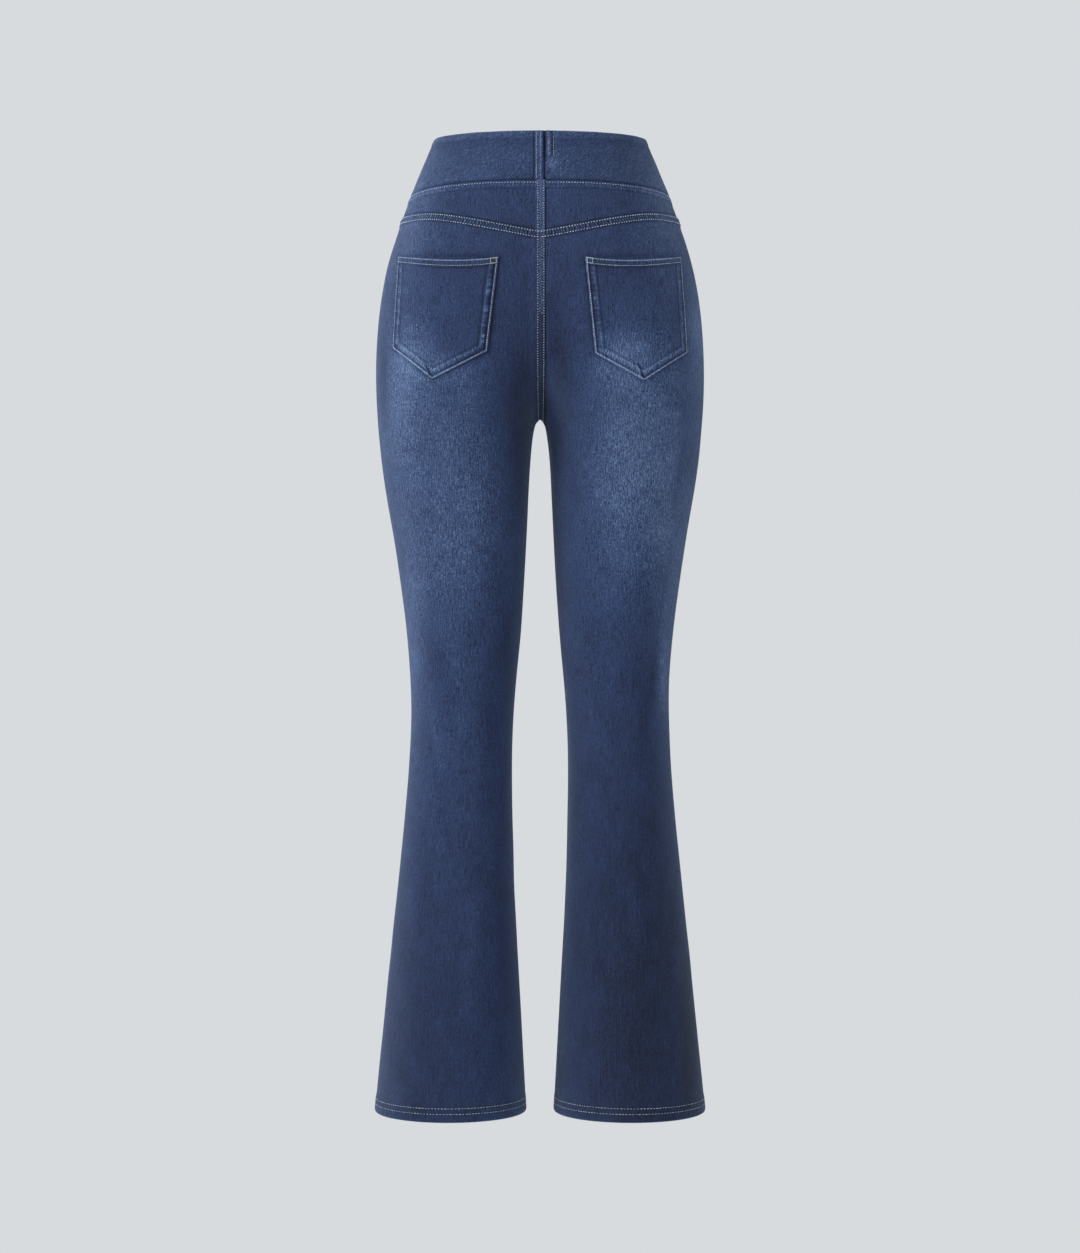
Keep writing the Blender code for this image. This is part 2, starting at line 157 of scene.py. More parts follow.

# Wash: soft patches of fading, and on the back also patches of painted light and painted shade, marked below. x:
# towards the wearer's left, from the middle. The last column: added at the patch's centre.
WASH_COLUMNS = ("x", "drop", "x_reach", "drop_reach", "fade")
BASE_FADE = 0.32
BACK_WASH_AND_PAINTED_LIGHT = (
    (0.118, 0.330, 0.045, 0.110, 0.10),
    (0.151, 0.290, 0.024, 0.095, 0.16),
    (0.066, 0.385, 0.034, 0.110, 0.13),
    (0.116, 0.470, 0.042, 0.080, 0.09),
    (0.134, 0.243, 0.022, 0.030, 0.12),
    (0.104, 0.262, 0.034, 0.016, 0.08),
    # painted rim light along the left leg's outer edge
    (0.142, 0.560, 0.016, 0.110, 0.13),
    (0.142, 0.090, 0.026, 0.080, 0.17),
    (-0.090, 0.340, 0.045, 0.110, 0.18),
    (-0.135, 0.330, 0.034, 0.120, 0.13),
    (-0.105, 0.440, 0.040, 0.080, 0.08),
    (-0.104, 0.246, 0.034, 0.030, 0.06),
    (-0.085, 0.240, 0.026, 0.024, 0.11),
    (-0.022, 0.235, 0.012, 0.030, -0.05),
    (-0.085, 0.262, 0.036, 0.016, 0.05),
    # painted rim light on the right hip's edge, with some rubbed cloth there
    (-0.174, 0.215, 0.013, 0.060, 0.22),
    # painted light over the right leg's shaded inner edge
    (-0.012, 0.345, 0.006, 0.060, 0.17),
    (-0.135, 0.585, 0.007, 0.060, 0.19),
    (-0.146, 0.470, 0.018, 0.110, 0.12),
    (-0.135, 0.090, 0.028, 0.080, 0.16),
    # painted shade between the two halves of the seat
    (0.000, 0.280, 0.045, 0.120, -0.12),
    (0.118, 0.555, 0.014, 0.050, -0.04),
    (0.125, 1.000, 0.060, 0.200, -0.09),
    (0.169, 0.262, 0.006, 0.036, -0.13),
    (0.154, 0.296, 0.010, 0.020, 0.04),
    (0.139, 0.2430, 0.014, 0.010, 0.07),
    # painted shade down the left leg's inner thigh, in this row and the next two
    (0.024, 0.350, 0.011, 0.090, -0.07),
    (0.035, 0.560, 0.011, 0.080, -0.07),
    (0.041, 0.820, 0.008, 0.170, -0.06),
    # painted shade on the lower right leg and its outer edge, in this row and the next
    (-0.100, 0.960, 0.080, 0.300, -0.14),
    (-0.168, 0.975, 0.014, 0.110, -0.16),
)
FRONT_WASH = (
    (0.090, 0.360, 0.048, 0.170, 0.20),
    (-0.090, 0.350, 0.048, 0.160, 0.20),
    (0.105, 0.590, 0.036, 0.060, 0.09),
    (-0.105, 0.600, 0.036, 0.060, 0.09),
    (0.000, 0.270, 0.045, 0.120, -0.08),
    (0.110, 1.020, 0.090, 0.200, -0.06),
    (-0.110, 1.020, 0.090, 0.200, -0.06),
)
# Soft folds. half: front or back. turn: from upright, in degrees, anticlockwise as x and drop run.
CREASE_COLUMNS = ("half", "x", "drop", "turn", "length", "width", "height")
CREASES = (
    ("back", 0.1125, 0.648, 7, 0.050, 0.0040, 0.0011),
    ("back", 0.0840, 0.622, 2, 0.042, 0.0070, 0.0006),
    ("back", 0.0545, 0.640, 12, 0.022, 0.0060, -0.0008),
    ("back", 0.1240, 0.780, 3, 0.060, 0.0080, -0.0006),
    ("back", 0.1405, 0.845, 6, 0.038, 0.0060, 0.0006),
    ("back", 0.0750, 0.905, -5, 0.055, 0.0090, 0.0006),
    ("back", -0.1500, 0.370, -5, 0.075, 0.0065, -0.0013),
    ("back", -0.1290, 0.540, -8, 0.110, 0.0060, -0.0011),
    ("back", -0.1020, 0.845, 3, 0.052, 0.0065, 0.0006),
    ("back", -0.1430, 0.860, -6, 0.050, 0.0065, -0.0006),
    ("back", -0.0390, 0.985, -4, 0.036, 0.0050, 0.0006),
    ("front", 0.0400, 0.298, 58, 0.030, 0.0050, -0.0014),
    ("front", 0.0560, 0.272, 68, 0.040, 0.0055, -0.0011),
    ("front", 0.0850, 0.236, 76, 0.034, 0.0060, -0.0008),
    ("front", 0.1100, 0.585, 74, 0.026, 0.0060, -0.0010),
    ("front", 0.0840, 0.622, 96, 0.032, 0.0065, -0.0011),
    ("front", 0.1230, 0.905, 5, 0.060, 0.0090, 0.0008),
    ("front", 0.0700, 0.870, -4, 0.075, 0.0110, -0.0008),
    ("front", -0.0440, 0.292, -61, 0.032, 0.0050, -0.0013),
    ("front", -0.0640, 0.262, -72, 0.034, 0.0060, -0.0010),
    ("front", -0.0980, 0.606, -80, 0.032, 0.0065, -0.0011),
    ("front", -0.1160, 0.640, -66, 0.022, 0.0055, -0.0008),
    ("front", -0.1080, 0.925, -6, 0.070, 0.0100, 0.0009),
    ("front", -0.0620, 0.960, 3, 0.052, 0.0080, -0.0007),
)
CREASE_WEAR = 45  # fade for each metre of a fold's height: ridges rub pale, troughs stay dark

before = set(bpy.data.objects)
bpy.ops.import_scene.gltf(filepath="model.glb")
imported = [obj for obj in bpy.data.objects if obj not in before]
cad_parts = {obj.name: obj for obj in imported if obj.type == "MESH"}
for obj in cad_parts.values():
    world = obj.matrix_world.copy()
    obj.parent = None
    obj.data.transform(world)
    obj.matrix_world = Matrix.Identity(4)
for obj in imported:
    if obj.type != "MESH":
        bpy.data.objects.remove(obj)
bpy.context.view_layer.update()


# ---------------------------------------------------------------- the form


def spline(knots, values):
    """The second derivatives at the knots of the smooth curve through the values, straight at both ends."""
    step = np.diff(knots)
    slope = np.diff(values) / step
    matrix = np.eye(len(knots))
    wanted = np.zeros(len(knots))
    for i in range(1, len(knots) - 1):
        matrix[i, i - 1 : i + 2] = step[i - 1], 2 * (step[i - 1] + step[i]), step[i]
        wanted[i] = 6 * (slope[i] - slope[i - 1])
    return np.linalg.solve(matrix, wanted)


def on_spline(knots, values, bend, where):
    where = np.clip(where, knots[0], knots[-1])
    i = np.clip(np.searchsorted(knots, where) - 1, 0, len(knots) - 2)
    step = knots[i + 1] - knots[i]
    after = (where - knots[i]) / step
    before = 1 - after
    curve = (before**3 - before) * bend[i] + (after**3 - after) * bend[i + 1]
    return before * values[i] + after * values[i + 1] + curve * step**2 / 6


def curves(names, rows):
    """Each column's smooth curve over the drop: its knots, values and bends."""
    table = dict(zip(names, np.array(rows).T))
    return {name: (table["drop"], table[name], spline(table["drop"], table[name])) for name in names[1:]}


CURVES = curves(SECTION_COLUMNS, SECTIONS) | curves(GAP_COLUMNS, GAPS)


def section(drop):
    """The sizes of the level section at each drop, by name."""
    sizes = {name: on_spline(*curve, drop) for name, curve in CURVES.items()}
    sizes["middle"] = (sizes["back"] - sizes["front"]) / 2
    sizes["depth"] = (sizes["back"] + sizes["front"]) / 2
    return sizes


def oval(sizes, across, along):
    """How far a place lies outside the oval of one leg, measured from the leg's axis."""
    reach = np.hypot(across, along)
    half_width = np.where(across >= 0, sizes["side"] - sizes["axis"], sizes["axis"] - sizes["gap"])
    power = np.where(along >= 0, sizes["back_power"], sizes["front_power"])
    scale = np.abs(across / half_width) ** power + np.abs(along / sizes["depth"]) ** power
    return reach - reach / np.maximum(scale, 1e-6) ** (1 / power)


def outside(sizes, across, along):
    """How far a place lies outside both legs, with their meeting filled softly."""
    near = oval(sizes, across, along)
    far = oval(sizes, -across - 2 * sizes["axis"], along)
    closeness = np.maximum(0, 1 - np.abs(near - far) / sizes["fillet"])
    return np.minimum(near, far) - sizes["fillet"] / 4 * closeness**2


def halve(function, low, high):
    """Where the function crosses zero between low and high, by halving."""
    for _ in range(HALVINGS):
        middle = (low + high) / 2
        inside = function(middle) < 0
        low = np.where(inside, middle, low)
        high = np.where(inside, high, middle)
    return (low + high) / 2


def form_point(angle, drop):
    """The point of the form at an angle round the leg's axis, at each drop."""
    sizes = section(drop)
    cosine, sine = np.cos(angle), np.sin(angle)
    farthest = np.where(cosine < 0, sizes["axis"] / np.maximum(-cosine, 1e-6), WIDEST)
    reach = halve(lambda r: outside(sizes, r * cosine, r * sine), 0 * farthest, np.minimum(farthest, WIDEST))
    return np.stack([sizes["axis"] + reach * cosine, sizes["middle"] + reach * sine, -drop], axis=-1)


def crotch_drop():
    def above(drop):
        sizes = section(drop)
        return sizes["gap"] - sizes["fillet"] / 4

    return float(halve(above, np.array(0.25), np.array(0.33)))


CROTCH = crotch_drop()


def inner_edge(way):
    """The inner edge of the front (way -1) or the back (way 1): its share of the way down, angle and drop."""
    fall = np.linspace(0, 1, 400)
    drop = CROTCH * (1 - (1 - fall) ** 2)
    sizes = section(drop)
    reach = halve(lambda r: outside(sizes, -sizes["axis"], way * r), 0 * drop, 0 * drop + WIDEST)
    angle = np.arctan2(way * reach, -sizes["axis"])
    length = np.hypot(np.diff(way * reach + sizes["middle"]), np.diff(drop))
    travelled = np.concatenate([[0], np.cumsum(length)])
    leg = np.linspace(0, 1, 100)[1:]
    turn = INSEAM_TURN * np.minimum(1, leg / 0.2)
    share = np.concatenate([CROTCH_SHARE * travelled / travelled[-1], CROTCH_SHARE + (1 - CROTCH_SHARE) * leg])
    angle = np.concatenate([np.where(angle * way < 0, angle + way * 2 * np.pi, angle), way * np.pi + turn])
    return share, angle, np.concatenate([drop, CROTCH + (OUTSEAM - CROTCH) * leg])


INNER_EDGE = {"back": inner_edge(1), "front": inner_edge(-1)}


def ease(share):
    return share * share * (3 - 2 * share)


def place(half, across, down):
    """The point of the form, on the wearer's left. across: 0 at the side seam, 1 at the inner edge. down: 0 at
    the waist, 1 at the hem."""
    share, edge_angle, edge_drop = INNER_EDGE[half]
    side_drop = down * OUTSEAM
    drop = side_drop + (np.interp(down, share, edge_drop) - side_drop) * ease(across)
    angle = SIDE_SEAM_ANGLE + (np.interp(down, share, edge_angle) - SIDE_SEAM_ANGLE) * across
    return form_point(angle, drop)


def height_over(points):
    """How far points lie outside the form, on either leg."""
    sizes = section(-points[..., 2])
    return outside(sizes, np.abs(points[..., 0]) - sizes["axis"], points[..., 1] - sizes["middle"])


def outward(points):
    """The direction out of the form at points on it."""
    probe = np.eye(3) * 1e-4
    out = np.stack([height_over(points + step) - height_over(points - step) for step in probe], axis=-1)
    return unit(out)


def onto(points, direction, reach=0.015):
    """Points moved along a direction out of the form until they lie on it."""
    low = np.full(points.shape[:-1], -reach)
    move = halve(lambda r: height_over(points + direction * r[..., None]), low, -low)
    return points + direction * move[..., None]


def down_at(half, across, drop):
    """How far down the form each place lies, from its drop below the waist."""
    tries = np.linspace(0, 0.4, 161)
    a, t = np.broadcast_arrays(across[:, None], tries[None])
    drops = -place(half, a.ravel(), t.ravel())[:, 2].reshape(a.shape)
    return np.array([np.interp(d, row, tries) for row, d in zip(drops, drop)])


def waist_line(half, across):
    if half == "back":
        return np.zeros_like(across)
    return down_at(half, across, FRONT_DIP * ease(across))


def band_line(half, across):
    level = BAND_DROP[half]
    return down_at(half, across, level + (BAND_DROP["side"] - level) * (1 - across) ** BAND_LEVEL[half])


def yoke_line(half, across):
    """The V seam: level from the side, then straight down to centre back, with a soft turn between."""

    def ramp(share):
        turn = share - YOKE_SHOULDER
        return (turn + np.hypot(turn, YOKE_ROUNDING)) / 2

    fall = YOKE_DROP["centre back"] - YOKE_DROP["side"]
    return down_at(half, across, YOKE_DROP["side"] + fall * ramp(across) / ramp(1))


def crotch_line(half, across):
    return np.full_like(across, CROTCH_SHARE)


def hem_line(half, across):
    return np.ones_like(across)


# ---------------------------------------------------------------- small shapes


def lengths(points, axis):
    """The distance along a grid of points from its first row (axis 0) or its last column (axis 1)."""
    if axis:
        return lengths(np.swapaxes(points, 0, 1)[::-1], 0)[::-1].T
    step = np.linalg.norm(np.diff(points, axis=0), axis=-1)
    return np.concatenate([np.zeros((1, points.shape[1])), np.cumsum(step, axis=0)])


def unit(vectors):
    return vectors / np.maximum(np.linalg.norm(vectors, axis=-1, keepdims=True), 1e-12)


def run_of(path):
    """The distance along a path to each of its points."""
    return np.concatenate([[0], np.cumsum(np.linalg.norm(np.diff(path, axis=0), axis=-1))])


def points_at(where, marks, points):
    """The points at places between marks, on a line that has one point for each mark."""
    return np.stack([np.interp(where, marks, points[:, k]) for k in range(3)], axis=-1)


def spaced(path):
    """A path again, with its points an even step apart."""
    run = run_of(path)
    return points_at(np.linspace(0, run[-1], max(2, round(run[-1] / PATH_STEP) + 1)), run, path)


def plateau(distance, width, soft):
    """1 up to a width, then a soft step down to 0."""
    return 0.5 * (1 - np.tanh((distance - width) / soft))


def ridge(distance, centre, width):
    return np.exp(-(((distance - centre) / width) ** 2))


def rounding(distance, width):
    """1 at an edge, dying away from it."""
    return np.exp(-distance / width)


def wander(along, wavelength, seed):
    """An uneven wave between about -1 and 1, from sines of mixed lengths."""
    random = np.random.default_rng(seed)
    total = 0
    for stretch in (0.6, 1.0, 1.7, 3.1):
        phase, size = random.uniform(0, 2 * np.pi), random.uniform(0.3, 0.6)
        total += size * np.sin(2 * np.pi * along / (wavelength * stretch) + phase)
    return total / 1.2


def puckers(along, pitch, seed):
    """Gathers across a stitched seam: ripples whose pitch and size wander."""
    ripple = np.sin(2 * np.pi * along / pitch + 2.4 * wander(along, pitch * 6, seed))
    return ripple * (0.55 + 0.45 * wander(along, pitch * 4, seed + 1))


def wash_and_painted_light(points):
    """How faded the cloth is at points of the garment, on a scale from raw indigo at 0 to bleached at 1, with the
    back's patches of painted light and painted shade added.
    """
    x, drop = points[..., 0], -points[..., 2]
    behind = 0.5 * (1 + np.tanh((points[..., 1] - section(drop)["middle"]) / 0.02))
    fade = BASE_FADE + 0 * x
    for rows, share in ((BACK_WASH_AND_PAINTED_LIGHT, behind), (FRONT_WASH, 1 - behind)):
        for row in rows:
            patch = dict(zip(WASH_COLUMNS, row))
            sideways = (x - patch["x"]) / patch["x_reach"]
            downwards = (drop - patch["drop"]) / patch["drop_reach"]
            fade += share * patch["fade"] * np.exp(-(sideways**2) - downwards**2)
    return fade


def creases(points):
    """The height of the soft folds at points of the garment."""
    x, drop = points[..., 0], -points[..., 2]
    behind = points[..., 1] > section(drop)["middle"]
    height = 0 * x
    for row in CREASES:
        fold = dict(zip(CREASE_COLUMNS, row))
        right, down = x - fold["x"], drop - fold["drop"]
        turn = np.radians(fold["turn"])
        across = right * np.cos(turn) + down * np.sin(turn)
        along = down * np.cos(turn) - right * np.sin(turn)
        shape = ridge(across, 0, fold["width"]) * np.exp(-((along / fold["length"]) ** 4))
        height += fold["height"] * shape * (behind == (fold["half"] == "back"))
    return height


# ---------------------------------------------------------------- meshes


def quads_of(index):
    return np.stack([index[:-1, :-1], index[:-1, 1:], index[1:, 1:], index[1:, :-1]], axis=-1).reshape(-1, 4)


def make_mesh(name, points, faces, materials, face_material, uv, **values):
    """A mesh object with its place on the cloth as a UV map, in metres, and named values at its points."""
    mesh = bpy.data.meshes.new(name)
    mesh.from_pydata(points.tolist(), [], faces.tolist() if isinstance(faces, np.ndarray) else faces)
    for material in materials:
        mesh.materials.append(material)
    mesh.polygons.foreach_set("material_index", np.asarray(face_material, np.int32))
    corners = np.zeros(len(mesh.loops), np.int32)
    mesh.loops.foreach_get("vertex_index", corners)
    layer = mesh.uv_layers.new(name="cloth")
    layer.data.foreach_set("uv", uv[corners].astype(np.float32).ravel())
    for label, value in values.items():
        mesh.attributes.new(label, "FLOAT", "POINT").data.foreach_set("value", value.astype(np.float32))
    mesh.shade_smooth()
    mesh.update()
    thing = bpy.data.objects.new(name, mesh)
    bpy.context.scene.collection.objects.link(thing)
    return thing


def wall(name, face, back, uv, fade, materials, side=1, flip=False, tint=None, one_side=False):
    """A closed wall of cloth between two layers of points on one grid, with a rounded edge between them.

    side -1 mirrors it, flip turns its faces round, and one_side keeps it off the other half of the garment."""
    rows, columns = face.shape[:2]
    count = rows * columns
    tint = np.zeros((rows, columns)) if tint is None else tint
    index = np.arange(count).reshape(rows, columns)
    outline = np.concatenate([index[0, :-1], index[:-1, -1], index[-1, :0:-1], index[:0:-1, 0]])
    top, low = face.reshape(-1, 3), back.reshape(-1, 3)
    across = top[outline] - low[outline]
    along = np.roll(top[outline], -1, axis=0) - np.roll(top[outline], 1, axis=0)
    away = unit(np.cross(along, across))
    away = away * np.linalg.norm(across, axis=-1, keepdims=True) * RIM_BULGE
    away *= np.sign((away * (top[outline] - top.mean(axis=0))).sum())
    rim = (top[outline] + low[outline]) / 2 + away
    middle = 2 * count + np.arange(len(outline))
    turned, following = np.roll(outline, -1), np.roll(middle, -1)
    face_sets = [
        quads_of(index),
        quads_of(index)[:, ::-1] + count,
        np.stack([turned, outline, middle, following], axis=-1),
        np.stack([following, middle, outline + count, turned + count], axis=-1),
    ]
    faces = np.concatenate(face_sets)
    if flip != (side < 0):
        faces = faces[:, ::-1]
    face_material = np.concatenate([np.full(len(f), m) for f, m in zip(face_sets, (0, 1, 0, 0))])
    every = np.concatenate([np.arange(count), np.arange(count), outline])
    points = np.concatenate([top, low, rim])
    if one_side:
        points[:, 0] = np.maximum(points[:, 0], SEAM_GAP / 4)
    cloth_uv = uv.reshape(-1, 2)[every] * (side, 1) + UV_START[side]
    values = {"fade": fade.ravel()[every], "tint": tint.ravel()[every]}
    return make_mesh(name, points * (side, 1, 1), faces, materials, face_material, cloth_uv, **values)


class Cloth:
    """A fine grid of places on one half of the form, on the wearer's left, between lines down it."""

    def __init__(self, half, columns, *stretches):
        share = np.linspace(0, 1, columns + 1)
        across = share - EDGE_CROWDING * np.sin(2 * np.pi * share) / (2 * np.pi)
        down = []
        for top, bottom, rows in stretches:
            share = np.linspace(0, 1, rows + 1)[bool(down) :, None]
            down.append(top(half, across) * (1 - share) + bottom(half, across) * share)
        down = np.concatenate(down)
        shape = down.shape
        self.half = half
        self.points = place(half, np.broadcast_to(across, shape).ravel(), down.ravel()).reshape(*shape, 3)
        self.out = outward(self.points)
        self.below = lengths(self.points, 0)
        self.above = self.below[-1:] - self.below
        self.inner = lengths(self.points, 1)
        self.outer = self.inner[:, :1] - self.inner
        self.uv = np.stack([self.inner, self.below], axis=-1)

    def straighten_grain(self):
        """Lays the cloth so that its warp runs straight down the middle of the leg."""
        rows = zip(self.points[..., 0], self.inner)
        self.uv[..., 0] -= np.array([np.interp(-GRAIN_LINE, -x, inner) for x, inner in rows])[:, None]

    def build(self, name, side, height, thickness, materials, wear_and_painted_shade, tint=None):
        """A wall whose face is a height above the form. Its wear, and the painted shade that comes with it, fade
        or darken it beyond the wash.
        """
        face = self.points + self.out * height[..., None]
        back = self.points + self.out * (height - thickness)[..., None]
        fade = wash_and_painted_light(self.points * (side, 1, 1)) + wear_and_painted_shade
        return wall(name, face, back, self.uv, fade, materials, side, self.half == "back", tint, True)


class Strip:
    """A fine grid on the form beside a guide line: a row for each width from it, and columns along it."""

    def __init__(self, guide, side_way, widths, upright=False):
        out = outward(guide)
        ahead = np.gradient(guide, axis=0)
        beside = unit(np.cross(ahead, out))
        beside *= np.sign((beside * side_way).sum(axis=-1, keepdims=True))
        spread = guide[None] + beside[None] * np.asarray(widths)[:, None, None]
        self.points = onto(spread, np.broadcast_to(out, spread.shape))
        self.out = outward(self.points)
        run = run_of(guide)
        self.beside, self.along = np.meshgrid(widths, run, indexing="ij")
        self.left = run[-1] - self.along
        self.uv = np.stack([self.beside, self.along] if upright else [self.along, self.beside], axis=-1)

    def build(self, name, side, height, low, materials, wear_and_painted_shade, tint=None, flip=False):
        """A wall from a low height up to its face, with the wash and painted light of where it lies."""
        face = self.points + self.out * height[..., None]
        back = self.points + self.out * np.minimum(low, height - 0.0001)[..., None]
        fade = wash_and_painted_light(self.points * (side, 1, 1)) + wear_and_painted_shade
        return wall(name, face, back, self.uv, fade, materials, side, flip, tint)


# ---------------------------------------------------------------- stitches

# A bead of thread, from end to end: how far along, and how thick, as shares of its half length and half width
BEAD_RINGS = ((-0.74, 0.80), (0.0, 1.0), (0.74, 0.80))
BEAD_SIDES = 6


def bead():
    """One bead's points as (along, beside, up) and its faces."""
    angles = np.arange(BEAD_SIDES) * 2 * np.pi / BEAD_SIDES
    points = [(-1, 0, 0)]
    for along, size in BEAD_RINGS:
        points += [(along, size * np.cos(angle), size * np.sin(angle)) for angle in angles]
    points.append((1, 0, 0))
    faces = []
    last = len(points) - 1
    for k in range(BEAD_SIDES):
        turn = (k + 1) % BEAD_SIDES
        faces.append((0, 1 + turn, 1 + k))
        for ring in range(len(BEAD_RINGS) - 1):
            here = 1 + ring * BEAD_SIDES
            faces.append((here + k, here + turn, here + turn + BEAD_SIDES, here + k + BEAD_SIDES))
        here = 1 + (len(BEAD_RINGS) - 1) * BEAD_SIDES
        faces.append((here + k, here + turn, last))
    return np.array(points), faces


BEAD_POINTS, BEAD_FACES = bead()
ROW_COLUMNS = ("path", "height", "pitch", "length", "width", "seed")


def stitches(name, rows, material, side=1):
    """Rows of stitches as one mesh: each row a path on the form, the cloth's height there, and its stitches'
    pitch, length and width."""
    points, faces, shades = [], [], []
    for values in rows:
        row = dict(zip(ROW_COLUMNS, values))
        path = row["path"]
        random = np.random.default_rng(row["seed"])
        run = run_of(path)
        number = max(1, round(run[-1] / row["pitch"]))
        at = (np.arange(number) + 0.5) * run[-1] / number + random.normal(0, row["pitch"] * 0.04, number)
        height = np.interp(at, run, np.broadcast_to(row["height"], run.shape))[:, None]
        half = row["length"] / 2 * random.uniform(0.9, 1.08, number)[:, None]
        thick = row["width"] / 2 * random.uniform(0.9, 1.1, number)[:, None]
        centre = points_at(at, run, path)
        ahead = points_at(at + row["length"] / 2, run, path) - points_at(at - row["length"] / 2, run, path)
        up = outward(centre)
        ahead = unit(ahead - up * (up * ahead).sum(axis=-1, keepdims=True))
        beside = np.cross(up, ahead)
        along, across, rise = BEAD_POINTS.T
        lift = height + thick * (0.15 + 0.7 * (1 - 1.6 * along**2) + 0.75 * rise)
        beads = centre[:, None] + ahead[:, None] * (along * half)[..., None]
        beads = beads + beside[:, None] * (across * thick)[..., None] + up[:, None] * lift[..., None]
        start = sum(len(p) for p in points)
        points.append(beads.reshape(-1, 3))
        shades.append(np.repeat(random.uniform(0, 1, number), len(BEAD_POINTS)))
        for i in range(number):
            first = start + i * len(BEAD_POINTS)
            faces += [[first + corner for corner in face] for face in BEAD_FACES]
    points = np.concatenate(points) * (side, 1, 1)
    if side < 0:
        faces = [face[::-1] for face in faces]
    shades = np.concatenate(shades)
    thing = make_mesh(name, points, faces, [material], np.zeros(len(faces)), points[:, [0, 2]], fade=shades)
    return keep(thing, "thread")


def stitch_gaps(path, sewn):
    """Along a path with a row of stitches: 1 midway between two stitches, 0 at the middle of each."""
    run = run_of(path)
    number = max(1, round(run[-1] / sewn[0]))
    return 0.5 + 0.5 * np.cos(2 * np.pi * number * run / run[-1])


def strip_path(strip, width):
    """The line on a strip at one width, or at a width for each of its columns."""
    columns = np.arange(strip.points.shape[1])
    rows = np.interp(np.broadcast_to(width, columns.shape), strip.beside[:, 0], np.arange(len(strip.beside)))
    low = rows.astype(int).clip(0, len(strip.beside) - 2)
    share = (rows - low)[:, None]
    return strip.points[low, columns] * (1 - share) + strip.points[low + 1, columns] * share


def zigzag(strip, first, last, pitch):
    """A path that swings between two widths of a strip, a swing for each pitch."""
    swing = 0.5 + 0.5 * np.sin(2 * np.pi * strip.along[0] / pitch)
    return strip_path(strip, first + (last - first) * swing)


# ---------------------------------------------------------------- materials


class Nodes:
    """Short calls for building one material's node tree."""

    def __init__(self, name, roughness, specular):
        self.material = bpy.data.materials.new(name)
        self.material.use_nodes = True
        self.tree = self.material.node_tree
        self.shader = self.tree.nodes["Principled BSDF"]
        self.shader.inputs["Metallic"].default_value = 0
        self.shader.inputs["Roughness"].default_value = roughness
        self.shader.inputs["Specular IOR Level"].default_value = specular

    def add(self, kind, **settings):
        node = self.tree.nodes.new(kind)
        for name, value in settings.items():
            setattr(node, name, value)
        return node

    def link(self, value, socket):
        if hasattr(value, "is_output"):
            self.tree.links.new(value, socket)
        else:
            socket.default_value = value

    def math(self, operation, first, second=0.0, third=0.0):
        node = self.add("ShaderNodeMath", operation=operation)
        for value, socket in zip((first, second, third), node.inputs):
            self.link(value, socket)
        return node.outputs[0]

    def value_at(self, name):
        return self.add("ShaderNodeAttribute", attribute_name=name).outputs["Fac"]

    def grain(self, spot, across, along, turn=0.0, detail=2.0):
        """Noise whose grains are this wide and long on the cloth, in metres, mostly between -1 and 1."""
        mapping = self.add("ShaderNodeMapping", vector_type="TEXTURE")
        self.link(spot, mapping.inputs["Vector"])
        mapping.inputs["Rotation"].default_value = (0, 0, math.radians(turn))
        mapping.inputs["Scale"].default_value = (across, along, 1)
        noise = self.add("ShaderNodeTexNoise", noise_dimensions="2D")
        self.link(mapping.outputs[0], noise.inputs["Vector"])
        noise.inputs["Scale"].default_value = 1
        noise.inputs["Detail"].default_value = detail
        return self.math("MULTIPLY_ADD", noise.outputs[0], 4.0, -2.0)

    def total(self, *terms):
        """The sum of values, each times its share."""
        sum_so_far = 0.0
        for value, share in terms:
            sum_so_far = self.math("MULTIPLY_ADD", value, share, sum_so_far)
        return sum_so_far

    def ramp(self, value, stops):
        node = self.add("ShaderNodeValToRGB")
        self.link(value, node.inputs[0])
        elements = node.color_ramp.elements
        while len(elements) < len(stops):
            elements.new(0.5)
        for element, (position, colour) in zip(elements, stops):
            element.position = position
            element.color = (*colour, 1)
        return node.outputs[0]

    def bump(self, height, distance):
        node = self.add("ShaderNodeBump")
        self.link(height, node.inputs["Height"])
        node.inputs["Distance"].default_value = distance
        self.link(node.outputs[0], self.shader.inputs["Normal"])


INDIGO = (
    (0.00, (0.006, 0.008, 0.018)),
    (0.15, (0.0116, 0.0168, 0.0382)),
    (0.30, (0.025, 0.042, 0.108)),
    (0.43, (0.041, 0.070, 0.160)),
    (0.56, (0.069, 0.112, 0.228)),
    (0.70, (0.115, 0.174, 0.315)),
    (0.85, (0.180, 0.250, 0.410)),
    (1.00, (0.280, 0.360, 0.510)),
)
TWILL_PITCH = 0.0009


